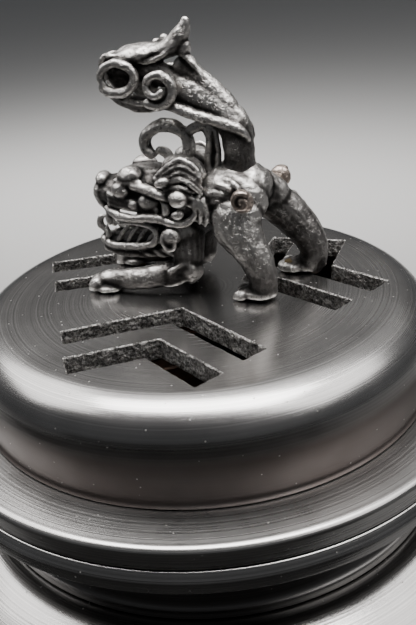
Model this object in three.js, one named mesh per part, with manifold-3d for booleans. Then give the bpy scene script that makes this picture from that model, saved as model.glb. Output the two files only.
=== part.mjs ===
// Covered incense burner: a turned, wide-shouldered bowl on three turned feet, a lift-out ash liner,
// and a domed lid pierced with three pairs of chevron vents, with a cast guardian lion as its handle.
// Millimetres, +Z up. The origin is on the table, on the axis of the bowl. The lion faces -X.

import * as THREE from "three";
import { mergeVertices } from "three/addons/utils/BufferGeometryUtils.js";
import Module from "manifold-3d";

const wasm = await Module();
wasm.setup();

// ---------------------------------------------------------------------------------------------
// Driving dimensions
// ---------------------------------------------------------------------------------------------

const fit = 0.2; // gap left between two pieces that are seated, soldered or screwed together
const castFit = 0.3; // the same between the rougher cast pieces of the lion

const mouth = {
  radius: 38, // bore of the neck and the rim
  ledge: 4, // how far the liner's ledge reaches in from the bore
};

const bowl = {
  radius: 65, // widest, at the belly
  baseRadius: 44,
  height: 64.2, // underside to neck seat
  bellyHeight: 36, // underside to the widest place
  seatWidth: 8, // flat seat round the mouth, from the bore to the round shoulder
  wall: 3,
  floor: 3.5,
};

// Widths of the neck are measured outward from its bore.
const neck = {
  baseWall: 4.3,
  waistWall: 2.7,
  topWall: 5.4,
  height: 12.8,
  beadHeight: 1.2,
};

const rim = {
  width: 11.5, // from the bore to the outer edge
  taper: 1.1, // how much smaller the radius is at the top edge
  height: 3.3,
  edge: 0.4,
};

const flange = {
  setback: 0.9, // how much smaller its radius is than the rim's
  undercut: 0.2, // how much smaller the radius is at the bottom edge
  height: 3.7,
  rounding: 0.8,
};

const bezel = {
  clearance: 0.5, // to the bore of the neck, all round
  wall: 2.6,
  depth: 8.3, // below the underside of the flange
};

const dome = {
  radius: 40, // at its foot, on the flange
  bulge: 0.9, // how much wider it is where the rounding starts
  height: 15.8,
  rounding: 7.2,
  wall: 3.5,
};

// Each vent is a V. Its apex is measured from the axis, and its margin is how far its outer corners
// stay inside the edge of the lid's flat top.
const vents = {
  directions: [270, 30, 150], // degrees, the way each pair opens outward
  halfAngle: 57.1, // degrees, each arm to the line through the point of the V
  inner: { apex: 8.2, width: 4.55, margin: 6.2 },
  outer: { apex: 19.1, width: 5.0, margin: 0.6 },
};

const liner = {
  clearance: 0.6, // to the ledge and to the bore of the neck
  taper: 4.4, // how much narrower the cup is at its base
  depth: 44,
  wall: 1.2,
  corner: 3,
};

const foot = {
  count: 3,
  firstDirection: 270, // degrees
  inset: 9, // middle of each foot to the edge of the bowl's base
  height: 12,
  padRadius: 7.5,
  waistRadius: 5.4,
  topRadius: 8.8,
};

// A screw's bite is how far it goes into the foot or the paw. Its hole is wider than its shank.
const footScrew = { radius: 1.9, bite: 6.6, headRadius: 3.6, headHeight: 2, slot: 0.8, hole: 0.3 };
const footWasher = { radius: 4.4, height: 1 };
const pawScrew = { radius: 0.9, bite: 2.1, headRadius: 1.8, headHeight: 1.3, slot: 0.5, hole: 0.25 };
const pawWasher = { radius: 2.3, height: 0.6 };

const lionHeight = 45.6; // top of the lid to the tip of the tail

const turnedSides = 40;
const smallSides = 12;

// Heights that several pieces share.
const bowlBase = foot.height;
const neckSeat = bowlBase + bowl.height;
const rimBase = neckSeat + neck.height;
const lidSeat = rimBase + rim.height;
const domeBase = lidSeat + flange.height;
const lidTop = domeBase + dome.height;
const lidUnderTop = lidTop - dome.wall;
const shoulderRadius = mouth.radius + bowl.seatWidth;
const rimRadius = mouth.radius + rim.width;
const flangeRadius = rimRadius - flange.setback;
const linerLedgeRadius = mouth.radius - mouth.ledge;
const bezelRadius = mouth.radius - bezel.clearance;
const domeWidest = dome.radius + dome.bulge;
const domeFlatRadius = domeWidest - dome.rounding;

// The lion is laid out in its own units, in which it stands 45.6 tall.
const lionUnit = lionHeight / 45.6;

// ---------------------------------------------------------------------------------------------
// Materials
// ---------------------------------------------------------------------------------------------

function metal(color, roughness) {
  return new THREE.MeshStandardMaterial({ color, roughness, metalness: 1 });
}

const turnedPewter = () => metal(0x4a4a4c, 0.32);
const darkPewter = () => metal(0x38383a, 0.4);
const blackenedBronze = () => metal(0x1d1c1c, 0.42);
const rubbedCopper = () => metal(0x5a3d2e, 0.4);
const copperSheet = () => metal(0x8a5638, 0.45);
const brassFixing = () => metal(0x7d6a3c, 0.4);

// ---------------------------------------------------------------------------------------------
// Solids
// ---------------------------------------------------------------------------------------------

// A closed three.js geometry as a solid, with the triangles that a pole squeezes flat left out.
function solidOf(geometry) {
  const bare = geometry.clone();
  bare.deleteAttribute("normal");
  bare.deleteAttribute("uv");
  const merged = mergeVertices(bare, 1e-4);
  const corners = merged.index.array;
  const kept = [];
  for (let i = 0; i < corners.length; i += 3) {
    const [a, b, c] = [corners[i], corners[i + 1], corners[i + 2]];
    if (a !== b && b !== c && c !== a) {
      kept.push(a, b, c);
    }
  }
  return new wasm.Manifold(new wasm.Mesh({
    numProp: 3,
    vertProperties: new Float32Array(merged.attributes.position.array),
    triVerts: new Uint32Array(kept),
  }));
}

function geometryOf(solid) {
  const { vertProperties, triVerts } = solid.getMesh();
  const geometry = new THREE.BufferGeometry();
  geometry.setAttribute("position", new THREE.BufferAttribute(new Float32Array(vertProperties), 3));
  geometry.setIndex(new THREE.BufferAttribute(new Uint32Array(triVerts), 1));
  geometry.computeVertexNormals();
  return geometry;
}

function joined(solids) {
  return solids.reduce((whole, next) => whole.add(next));
}

function without(solid, cutters) {
  return cutters.reduce((left, cutter) => left.subtract(cutter), solid);
}

function radians(degrees) {
  return THREE.MathUtils.degToRad(degrees);
}

// A solid of revolution about Z. The outline runs anticlockwise, with the radius to the right.
function turned(outline, sides = turnedSides, stepsPerCurve = 3) {
  const geometry = new THREE.LatheGeometry(outline.getPoints(stepsPerCurve), sides);
  geometry.rotateX(Math.PI / 2);
  return solidOf(geometry);
}

function outlineFrom(points) {
  const outline = new THREE.Path();
  outline.moveTo(...points[0]);
  points.slice(1).forEach((point) => outline.lineTo(...point));
  return outline;
}

function ring(innerRadius, outerRadius, low, high, sides = turnedSides) {
  return turned(outlineFrom([
    [innerRadius, low],
    [outerRadius, low],
    [outerRadius, high],
    [innerRadius, high],
    [innerRadius, low],
  ]), sides);
}

function rod(radius, low, high, sides = smallSides) {
  const geometry = new THREE.CylinderGeometry(radius, radius, high - low, sides);
  geometry.rotateX(Math.PI / 2);
  geometry.translate(0, 0, (low + high) / 2);
  return solidOf(geometry);
}

function block(low, high) {
  const size = high.map((value, i) => value - low[i]);
  const geometry = new THREE.BoxGeometry(...size);
  geometry.translate(low[0] + size[0] / 2, low[1] + size[1] / 2, low[2] + size[2] / 2);
  return solidOf(geometry);
}

function blob(centre, radii, across = 10, down = 6) {
  const geometry = new THREE.SphereGeometry(1, across, down);
  geometry.scale(...radii);
  geometry.translate(...centre);
  return solidOf(geometry);
}

// A round bar along a smooth curve, whose radius changes from place to place and whose ends are
// blunt points. Each place is [x, y, z, radius].
function limb(places, sides = 8, stepsBetween = 2) {
  const curve = new THREE.CatmullRomCurve3(places.map(([x, y, z]) => new THREE.Vector3(x, y, z)));
  const last = (places.length - 1) * stepsBetween;
  const corners = [];
  const triangles = [];
  const side = new THREE.Vector3(0.3, 1, 0.2);
  const centres = [];
  for (let step = 0; step <= last; step += 1) {
    const centre = curve.getPoint(step / last);
    const along = curve.getTangent(step / last);
    side.addScaledVector(along, -side.dot(along)).normalize();
    const up = new THREE.Vector3().crossVectors(along, side);
    const between = step / stepsBetween;
    const before = Math.min(Math.floor(between), places.length - 2);
    const radius = THREE.MathUtils.lerp(places[before][3], places[before + 1][3], between - before);
    for (let k = 0; k < sides; k += 1) {
      const angle = (k / sides) * Math.PI * 2;
      corners.push(centre.clone()
        .addScaledVector(side, radius * Math.cos(angle))
        .addScaledVector(up, radius * Math.sin(angle)));
    }
    centres.push({ centre, along, radius });
  }
  for (let step = 0; step < last; step += 1) {
    for (let k = 0; k < sides; k += 1) {
      const here = step * sides + k;
      const beside = step * sides + (k + 1) % sides;
      triangles.push(here, beside, here + sides, beside, beside + sides, here + sides);
    }
  }
  const start = corners.length;
  corners.push(centres[0].centre.clone().addScaledVector(centres[0].along, -0.5 * centres[0].radius));
  corners.push(centres[last].centre.clone().addScaledVector(centres[last].along, 0.5 * centres[last].radius));
  for (let k = 0; k < sides; k += 1) {
    const next = (k + 1) % sides;
    triangles.push(start, next, k);
    triangles.push(start + 1, last * sides + k, last * sides + next);
  }
  const geometry = new THREE.BufferGeometry().setFromPoints(corners);
  geometry.setIndex(triangles);
  return solidOf(geometry);
}

// A curl of hair: a ring of round bar that stands in the X-Z plane.
function curl(centre, outerRadius, thickness) {
  const geometry = new THREE.TorusGeometry(outerRadius - thickness, thickness, 6, 12);
  geometry.rotateX(Math.PI / 2);
  geometry.translate(...centre);
  return solidOf(geometry);
}

function mesh(name, solid, material) {
  const piece = new THREE.Mesh(geometryOf(solid), material);
  piece.name = name;
  return piece;
}

// ---------------------------------------------------------------------------------------------
// Bowl
// ---------------------------------------------------------------------------------------------

function footPlaces() {
  const circle = bowl.baseRadius - foot.inset;
  return Array.from({ length: foot.count }, (_, i) => {
    const direction = radians(foot.firstDirection + (360 * i) / foot.count);
    return [circle * Math.cos(direction), circle * Math.sin(direction)];
  });
}

// The outside of the bowl is two smooth sweeps, base to belly and belly to shoulder; the inside
// repeats them one wall further in.
function bowlBody() {
  const belly = bowlBase + bowl.bellyHeight;
  const innerBelly = bowl.radius - bowl.wall;
  const innerBase = bowl.baseRadius - bowl.wall;
  const innerFloor = bowlBase + bowl.floor;
  const underSeat = neckSeat - bowl.wall;
  const outline = new THREE.Path();
  const baseSweep = 0.4 * (bowl.radius - bowl.baseRadius);
  const shoulderSweep = 0.52 * (bowl.radius - shoulderRadius);
  const lowRise = 0.5 * bowl.bellyHeight;
  const highRise = 0.62 * (bowl.height - bowl.bellyHeight);
  const shoulderDrop = 0.02 * bowl.height;
  outline.moveTo(0, bowlBase);
  outline.lineTo(bowl.baseRadius, bowlBase);
  outline.bezierCurveTo(
    bowl.baseRadius + baseSweep, bowlBase,
    bowl.radius, belly - lowRise,
    bowl.radius, belly,
  );
  outline.bezierCurveTo(
    bowl.radius, belly + highRise,
    shoulderRadius + shoulderSweep, neckSeat - shoulderDrop,
    shoulderRadius, neckSeat,
  );
  outline.lineTo(linerLedgeRadius, neckSeat);
  outline.lineTo(linerLedgeRadius, underSeat);
  outline.lineTo(shoulderRadius, underSeat);
  outline.bezierCurveTo(
    shoulderRadius + shoulderSweep, underSeat - shoulderDrop,
    innerBelly, belly + highRise,
    innerBelly, belly,
  );
  outline.bezierCurveTo(
    innerBelly, belly - lowRise + bowl.floor,
    innerBase + baseSweep, innerFloor,
    innerBase, innerFloor,
  );
  outline.lineTo(0, innerFloor);
  const holes = footPlaces().map(([x, y]) => (
    rod(footScrew.radius + footScrew.hole, bowlBase - 1, innerFloor + 1).translate([x, y, 0])
  ));
  return without(turned(outline, turnedSides, 5), holes);
}

function neckRing() {
  const base = neckSeat + fit;
  const top = rimBase - fit;
  const baseRadius = mouth.radius + neck.baseWall;
  const waistRadius = mouth.radius + neck.waistWall;
  const outline = new THREE.Path();
  outline.moveTo(mouth.radius, base);
  outline.lineTo(baseRadius, base);
  outline.lineTo(baseRadius, base + neck.beadHeight);
  outline.quadraticCurveTo(waistRadius, base + neck.beadHeight, waistRadius, (base + top) / 2);
  outline.quadraticCurveTo(waistRadius, top - neck.beadHeight, mouth.radius + neck.topWall, top);
  outline.lineTo(mouth.radius, top);
  outline.lineTo(mouth.radius, base);
  return turned(outline);
}

function rimRing() {
  const top = lidSeat - fit;
  return turned(outlineFrom([
    [mouth.radius, rimBase],
    [rimRadius - rim.edge, rimBase],
    [rimRadius, rimBase + rim.edge],
    [rimRadius - rim.taper, top],
    [mouth.radius, top],
    [mouth.radius, rimBase],
  ]));
}

function footPost() {
  const top = foot.height - fit;
  const screwEnd = foot.height - footScrew.bite;
  const bore = footScrew.radius + footScrew.hole;
  const outline = new THREE.Path();
  outline.moveTo(0, 0);
  outline.lineTo(foot.padRadius, 0);
  outline.quadraticCurveTo(foot.padRadius + 1.5, 0.25 * top, foot.waistRadius, 0.5 * top);
  outline.quadraticCurveTo(foot.waistRadius + 0.4, 0.85 * top, foot.topRadius, top);
  outline.lineTo(bore, top);
  outline.lineTo(bore, screwEnd - fit);
  outline.lineTo(0, screwEnd - fit);
  return turned(outline, smallSides);
}

function washer(size, screw, low) {
  return ring(screw.radius + screw.hole, size.radius, low, low + size.height, smallSides);
}

// A slotted screw whose head stands on z = 0 and whose shank runs down from there.
function slottedScrew(screw, length) {
  const body = turned(outlineFrom([
    [0, -length],
    [screw.radius, -length],
    [screw.radius, 0],
    [screw.headRadius, 0],
    [screw.headRadius, 0.6 * screw.headHeight],
    [0.8 * screw.headRadius, screw.headHeight],
    [0, screw.headHeight],
  ]), smallSides);
  const reach = 2 * screw.headRadius;
  const slot = block(
    [-reach, -screw.slot / 2, 0.5 * screw.headHeight],
    [reach, screw.slot / 2, 2 * screw.headHeight],
  );
  return body.subtract(slot);
}

function addBowl(group) {
  group.add(mesh("bowl_body", bowlBody(), turnedPewter()));
  group.add(mesh("neck_ring", neckRing(), darkPewter()));
  group.add(mesh("rim_ring", rimRing(), turnedPewter()));
  const washerLow = bowlBase + bowl.floor + fit;
  const headLow = washerLow + footWasher.height + fit;
  const screwLength = headLow - foot.height + footScrew.bite;
  footPlaces().forEach(([x, y], i) => {
    const number = i + 1;
    const screw = slottedScrew(footScrew, screwLength).translate([0, 0, headLow]);
    const pieces = [
      mesh(`foot_${number}`, footPost(), turnedPewter()),
      mesh(`foot_washer_${number}`, washer(footWasher, footScrew, washerLow), brassFixing()),
      mesh(`foot_screw_${number}`, screw, brassFixing()),
    ];
    pieces.forEach((piece) => {
      piece.position.set(x, y, 0);
      group.add(piece);
    });
  });
}

// ---------------------------------------------------------------------------------------------
// Liner
// ---------------------------------------------------------------------------------------------

function linerCup() {
  const lipLow = neckSeat + fit;
  const lipHigh = lipLow + liner.wall;
  const bottom = lipHigh - liner.depth;
  const topRadius = linerLedgeRadius - liner.clearance;
  const baseRadius = topRadius - liner.taper;
  const lipRadius = mouth.radius - liner.clearance;
  const outline = new THREE.Path();
  outline.moveTo(0, bottom);
  outline.lineTo(baseRadius - liner.corner, bottom);
  outline.quadraticCurveTo(baseRadius, bottom, baseRadius, bottom + liner.corner);
  outline.lineTo(topRadius, lipLow);
  outline.lineTo(lipRadius, lipLow);
  outline.lineTo(lipRadius, lipHigh);
  outline.lineTo(topRadius - liner.wall, lipHigh);
  outline.lineTo(baseRadius - liner.wall, bottom + liner.corner);
  outline.quadraticCurveTo(
    baseRadius - liner.wall, bottom + liner.wall,
    baseRadius - liner.corner, bottom + liner.wall,
  );
  outline.lineTo(0, bottom + liner.wall);
  return turned(outline);
}

function addLiner(group) {
  group.add(mesh("liner_cup", linerCup(), copperSheet()));
}

// ---------------------------------------------------------------------------------------------
// Lid
// ---------------------------------------------------------------------------------------------

// How long a vent's arms are, so that their outer corners stay its margin inside the flat top.
function armLength({ apex, width, margin }) {
  const angle = radians(vents.halfAngle);
  const reach = domeFlatRadius - margin;
  const along = apex * Math.cos(angle);
  const outerPoint = apex + width * Math.sin(angle);
  const sideways = width * Math.cos(angle);
  return Math.sqrt(reach ** 2 + along ** 2 - outerPoint ** 2 - sideways ** 2) - along;
}

// One V-shaped vent, with its point toward the axis and its arms cut square at their ends.
function chevron(vent, direction) {
  const angle = radians(vents.halfAngle);
  const along = new THREE.Vector2(Math.cos(angle), Math.sin(angle));
  const outward = new THREE.Vector2(Math.sin(angle), -Math.cos(angle));
  const tip = new THREE.Vector2(vent.apex, 0);
  const innerEnd = tip.clone().addScaledVector(along, armLength(vent));
  const outerEnd = innerEnd.clone().addScaledVector(outward, vent.width);
  const crotch = new THREE.Vector2(vent.apex + vent.width / Math.sin(angle), 0);
  const mirror = ({ x, y }) => new THREE.Vector2(x, -y);
  const outline = new THREE.Shape([tip, mirror(innerEnd), mirror(outerEnd), crotch, outerEnd, innerEnd]);
  const geometry = new THREE.ExtrudeGeometry(outline, { depth: 3 * dome.wall, bevelEnabled: false });
  geometry.translate(0, 0, lidTop - 2 * dome.wall);
  geometry.rotateZ(radians(direction));
  return solidOf(geometry);
}

function lidDome() {
  const base = domeBase + fit;
  const springing = lidTop - dome.rounding;
  const innerRounding = dome.rounding - dome.wall;
  const outline = new THREE.Path();
  outline.moveTo(dome.radius - dome.wall, base);
  outline.lineTo(dome.radius, base);
  outline.quadraticCurveTo(domeWidest, (base + springing) / 2, domeWidest, springing);
  outline.absarc(domeFlatRadius, springing, dome.rounding, 0, Math.PI / 2, false);
  outline.lineTo(0, lidTop);
  outline.lineTo(0, lidUnderTop);
  outline.lineTo(domeFlatRadius, lidUnderTop);
  outline.absarc(domeFlatRadius, springing, innerRounding, Math.PI / 2, 0, true);
  outline.lineTo(dome.radius - dome.wall, base);
  const slots = vents.directions.flatMap((direction) => [
    chevron(vents.inner, direction),
    chevron(vents.outer, direction),
  ]);
  const holes = pawPlaces().map(([x, y]) => (
    rod(pawScrew.radius + pawScrew.hole, lidUnderTop - 1, lidTop + 1).translate([x, y, 0])
  ));
  return without(turned(outline), [...slots, ...holes]);
}

// The flange reaches inward under the dome's foot and over the top of the bezel.
function lidFlange() {
  const inner = Math.min(dome.radius - dome.wall, bezelRadius - bezel.wall);
  const top = domeBase;
  const outline = new THREE.Path();
  outline.moveTo(inner, lidSeat);
  outline.lineTo(flangeRadius - flange.undercut, lidSeat);
  outline.lineTo(flangeRadius, top - flange.rounding);
  outline.quadraticCurveTo(flangeRadius, top, flangeRadius - flange.rounding, top);
  outline.lineTo(inner, top);
  outline.lineTo(inner, lidSeat);
  return turned(outline);
}

function lidBezel() {
  return ring(bezelRadius - bezel.wall, bezelRadius, lidSeat - bezel.depth, lidSeat - fit);
}

// ---------------------------------------------------------------------------------------------
// Lion. Places are in lion units from the middle of the lid's top; it faces -X.
// ---------------------------------------------------------------------------------------------

const midline = 3.6; // the lion's own middle plane, a little behind the axis

const paws = {
  near_fore: [-15.5, -3.3],
  far_fore: [-14.3, 8.7],
  near_hind: [12.2, -2.4],
  far_hind: [14.7, 9.0],
};

function pawPlaces() {
  return Object.values(paws).map(([x, y]) => [x * lionUnit, y * lionUnit]);
}

// Takes a solid in lion units to its place on the lid.
function onLid(solid) {
  return solid.scale([lionUnit, lionUnit, lionUnit]).translate([0, 0, lidTop]);
}

// The part of a solid that lies beyond a plane, on the side its direction points to.
function beyond(solid, point, direction) {
  return solid.trimByPlane(direction, new THREE.Vector3(...point).dot(new THREE.Vector3(...direction)));
}

function opposite(direction) {
  return direction.map((value) => -value);
}

function shifted(point, direction, distance) {
  return point.map((value, i) => value + direction[i] * distance);
}

// A short straight pin, or with a larger radius the hole for it.
function pinBetween(start, end, radius) {
  return limb([[...start, radius], [...end, radius]], 8, 1);
}

const headJoint = { point: [-3.6, midline, 13.5], direction: [-0.94868, 0, 0.31623] };
const jawJoint = { point: [-6, midline, 11.2], direction: [0, 0, -1] };
const tailJoint = { point: [8, midline, 21.0], direction: [0, 0, 1] };
const lockJoint = { point: [0.6, midline, 21.6], direction: [0, 0, 1] };
const pinRadius = 0.8;
const pinHole = pinRadius + 0.3;
const neckPinEnds = [
  shifted(headJoint.point, headJoint.direction, -2.6),
  shifted(headJoint.point, headJoint.direction, 2.6),
];
const tailPinEnds = [
  shifted(tailJoint.point, tailJoint.direction, -2.6),
  shifted(tailJoint.point, tailJoint.direction, 2.6),
];
const jawPinEnds = [[-8, midline, 14], [-8, midline, 8.8]];
const hipBosses = {
  near: { centre: [10.4, -4.4, 17.6], side: -1 },
  far: { centre: [13.0, 12.4, 16.8], side: 1 },
};
const bossRadius = 1.9;
const bossPeg = 0.7;

function bossPegEnds({ centre, side }, depth) {
  const [x, y, z] = centre;
  return [[x, y, z], [x, y - side * depth, z]];
}

function hindLegs() {
  const near = limb([
    [8.6, -0.6, 17.0, 4.6],
    [8.6, -1.8, 12.4, 4.4],
    [10.6, -2.3, 8.4, 2.9],
    [12.8, -2.4, 4.6, 2.4],
    [12.6, -2.4, 1.2, 2.6],
  ], 8, 2);
  const nearFoot = blob([11.6, -2.4, 0.9], [3.9, 2.8, 1.8]);
  const far = limb([
    [10.6, 8.0, 15.6, 4.4],
    [13.6, 9.3, 12.2, 4.0],
    [16.8, 9.9, 8.4, 2.9],
    [18.9, 10.0, 4.6, 2.4],
    [18.2, 9.9, 1.2, 2.6],
  ], 8, 2);
  const farFoot = blob([16.4, 9.6, 0.9], [4.4, 2.9, 1.8]);
  return [near, nearFoot, far, farFoot];
}

function foreLegs() {
  const near = limb([
    [-1.2, 0.4, 9.5, 3.4],
    [-0.6, -0.8, 4.6, 2.9],
    [-5.5, -2.4, 2.4, 2.3],
    [-12.0, -3.1, 2.0, 2.2],
    [-16.6, -3.3, 1.4, 2.2],
  ], 8, 2);
  const nearPaw = blob([-16.2, -3.3, 1.1], [2.9, 2.7, 1.9]);
  const far = limb([
    [-1.6, 6.8, 9.5, 3.4],
    [-1.2, 8.0, 4.6, 2.9],
    [-6.0, 8.8, 2.4, 2.3],
    [-12.0, 8.8, 2.0, 2.2],
    [-15.8, 8.8, 1.4, 2.2],
  ], 8, 2);
  const farPaw = blob([-15.6, 8.8, 1.1], [2.9, 2.7, 1.9]);
  return [near, nearPaw, far, farPaw];
}

function lionBody() {
  const torso = limb([
    [9.4, midline, 16.6, 5.4],
    [5.0, midline, 15.6, 5.3],
    [0.6, midline, 13.0, 5.6],
    [-3.6, midline, 12.0, 5.0],
    [-6.0, midline, 12.4, 4.0],
  ], 10, 2);
  const rump = blob([8.0, midline, 18.2], [4.6, 5.4, 4.4]);
  const neckEnd = shifted(headJoint.point, headJoint.direction, -castFit / 2);
  const barrel = beyond(joined([torso, rump]), neckEnd, opposite(headJoint.direction));
  const whole = joined([barrel, ...hindLegs(), ...foreLegs()]);
  const onFeet = beyond(whole, [0, 0, fit], [0, 0, 1]);
  const underTail = beyond(onFeet, shifted(tailJoint.point, tailJoint.direction, -castFit / 2), [0, 0, -1]);
  const screwHoles = Object.values(paws).map(([x, y]) => (
    rod((pawScrew.radius + pawScrew.hole) / lionUnit, -1, (pawScrew.bite + castFit) / lionUnit)
      .translate([x, y, 0])
  ));
  return without(underTail, [
    ...screwHoles,
    pinBetween(...neckPinEnds, pinHole),
    pinBetween(...tailPinEnds, pinHole),
    ...Object.values(hipBosses).map((boss) => pinBetween(...bossPegEnds(boss, 2.6), bossPeg + castFit)),
    ...Object.values(hipBosses).map((boss) => hipSeat(boss)),
  ]);
}

// The flat that is cut on the haunch for a hip boss.
function hipSeat({ centre, side }) {
  const [x, y, z] = centre;
  const radius = bossRadius + castFit;
  return pinBetween([x, y - side * castFit, z], [x, y + side * 4, z], radius);
}

function lionHead() {
  const skull = blob([-8.6, midline, 17.0], [6.4, 6.0, 5.6]);
  const brow = blob([-10.0, midline, 20.2], [3.2, 5.2, 2.2]);
  const muzzle = limb([
    [-7.0, midline, 15.2, 4.8],
    [-12.0, midline, 15.2, 4.2],
    [-15.0, midline, 15.6, 3.0],
  ], 10, 2);
  const nose = blob([-16.0, midline, 17.8], [1.8, 2.6, 1.9], 10, 6);
  const mane = blob([-2.6, midline, 16.4], [4.4, 7.4, 6.6]);
  const ruff = blob([-2.0, midline, 20.0], [4.0, 5.4, 3.4]);
  const ears = [-1, 1].map((side) => blob([-4.4, midline + side * 5.4, 20.4], [2.6, 1.6, 2.4], 8, 6));
  const curls = [-1, 1].flatMap((side) => [
    blob([-1.4, midline + side * 6.2, 16.8], [2.1, 1.8, 2.1], 8, 6),
    blob([-3.4, midline + side * 5.6, 12.6], [2.2, 1.8, 2.2], 8, 6),
  ]);
  const whole = joined([skull, brow, muzzle, nose, mane, ruff, ...ears, ...curls]);
  const neckStart = shifted(headJoint.point, headJoint.direction, castFit / 2);
  const face = beyond(whole, neckStart, headJoint.direction);
  const overJaw = beyond(face, shifted(jawJoint.point, jawJoint.direction, -castFit / 2), [0, 0, 1]);
  const underLock = beyond(overJaw, shifted(lockJoint.point, lockJoint.direction, -castFit / 2), [0, 0, -1]);
  return without(underLock, [
    pinBetween(...neckPinEnds, pinHole),
    pinBetween(...jawPinEnds, pinHole),
  ]);
}

function lionJaw() {
  const chin = limb([
    [-5.0, midline, 9.4, 3.2],
    [-10.0, midline, 8.6, 2.8],
    [-15.2, midline, 8.6, 2.0],
  ], 10, 2);
  const cheek = blob([-4.6, midline, 9.8], [3.0, 6.2, 3.0]);
  const whole = joined([chin, cheek]);
  const joint = shifted(jawJoint.point, jawJoint.direction, castFit / 2);
  const underHead = beyond(whole, joint, jawJoint.direction);
  const neckStart = shifted(headJoint.point, headJoint.direction, castFit / 2);
  const clearOfNeck = beyond(underHead, neckStart, headJoint.direction);
  return clearOfNeck.subtract(pinBetween(...jawPinEnds, pinHole));
}

function maneLock() {
  const lock = limb([
    [-2.2, midline, 20.6, 1.9],
    [0.6, midline, 23.0, 1.5],
    [0.0, midline, 26.2, 1.3],
    [-3.4, midline, 27.6, 1.3],
    [-7.2, midline, 26.6, 1.3],
    [-8.1, midline, 24.4, 1.3],
    [-7.0, midline, 23.2, 1.0],
  ], 8, 2);
  return beyond(lock, shifted(lockJoint.point, lockJoint.direction, castFit / 2), [0, 0, 1]);
}

function lionTail() {
  const stem = limb([
    [8.0, midline, 19.0, 2.9],
    [8.4, midline, 23.4, 2.4],
    [8.0, midline, 27.6, 2.6],
    [4.8, midline, 31.6, 3.2],
    [0.4, midline, 34.8, 3.4],
    [-4.6, midline, 37.0, 3.2],
    [-10.0, midline, 37.8, 2.6],
  ], 8, 2);
  const flame = limb([
    [-11.0, midline, 39.6, 1.4],
    [-6.4, midline, 41.0, 1.9],
    [-2.4, midline, 41.6, 1.7],
    [0.4, midline, 43.0, 1.4],
    [1.4, midline, 45.2, 0.6],
  ], 8, 2);
  const crest = limb([
    [7.4, midline, 30.8, 1.2],
    [3.2, midline, 36.0, 1.2],
    [-0.8, midline, 40.4, 1.2],
  ], 6, 2);
  const scrolls = [
    curl([-3.4, midline - 2.4, 34.8], 3.1, 1.0),
    curl([-10.4, midline - 2.0, 36.4], 3.6, 1.1),
    curl([-3.4, midline + 2.4, 34.8], 3.1, 1.0),
    curl([-10.4, midline + 2.0, 36.4], 3.6, 1.1),
  ];
  const whole = joined([stem, flame, crest, ...scrolls]);
  const root = beyond(whole, shifted(tailJoint.point, tailJoint.direction, castFit / 2), [0, 0, 1]);
  return root.subtract(pinBetween(...tailPinEnds, pinHole));
}

function hipBoss(boss) {
  const [x, y, z] = boss.centre;
  const cap = blob([x, y, z], [bossRadius, 1.3, bossRadius], 12, 8);
  const outward = beyond(cap, boss.centre, [0, boss.side, 0]);
  return outward.add(pinBetween([x, y + boss.side * 0.3, z], [x, y - boss.side * 2.2, z], bossPeg));
}

function addLid(group) {
  group.add(mesh("lid_dome", lidDome(), turnedPewter()));
  group.add(mesh("lid_flange", lidFlange(), turnedPewter()));
  group.add(mesh("lid_bezel", lidBezel(), darkPewter()));
  const washerLow = lidUnderTop - fit - pawWasher.height;
  const headHigh = washerLow - fit;
  const screwLength = lidTop - headHigh + pawScrew.bite;
  Object.entries(paws).forEach(([name, [x, y]]) => {
    const ringUnderLid = washer(pawWasher, pawScrew, washerLow);
    const screwFromBelow = slottedScrew(pawScrew, screwLength)
      .rotate([180, 0, 0])
      .translate([0, 0, headHigh]);
    const pieces = [
      mesh(`washer_${name}`, ringUnderLid, brassFixing()),
      mesh(`screw_${name}`, screwFromBelow, brassFixing()),
    ];
    pieces.forEach((piece) => {
      piece.position.set(x * lionUnit, y * lionUnit, 0);
      group.add(piece);
    });
  });
}

function addLion(group) {
  const pieces = {
    lion_body: lionBody(),
    lion_head: lionHead(),
    lion_jaw: lionJaw(),
    lion_tail: lionTail(),
    mane_lock: maneLock(),
    neck_pin: pinBetween(...neckPinEnds, pinRadius),
    jaw_pin: pinBetween(...jawPinEnds, pinRadius),
    tail_pin: pinBetween(...tailPinEnds, pinRadius),
  };
  Object.entries(pieces).forEach(([name, solid]) => {
    group.add(mesh(name, onLid(solid), blackenedBronze()));
  });
  Object.entries(hipBosses).forEach(([side, boss]) => {
    group.add(mesh(`hip_boss_${side}`, onLid(hipBoss(boss)), rubbedCopper()));
  });
}

const incenseBurner = new THREE.Group();
addBowl(incenseBurner);
addLiner(incenseBurner);
addLid(incenseBurner);
addLion(incenseBurner);

export default incenseBurner;
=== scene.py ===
"""Fine surfaces, finishes, light and camera for a covered incense burner with a lion handle."""
import math

import bmesh
import bpy
import numpy as np
from bpy.props import FloatProperty, FloatVectorProperty, IntProperty, PointerProperty
from mathutils import Matrix, Vector, noise


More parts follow.
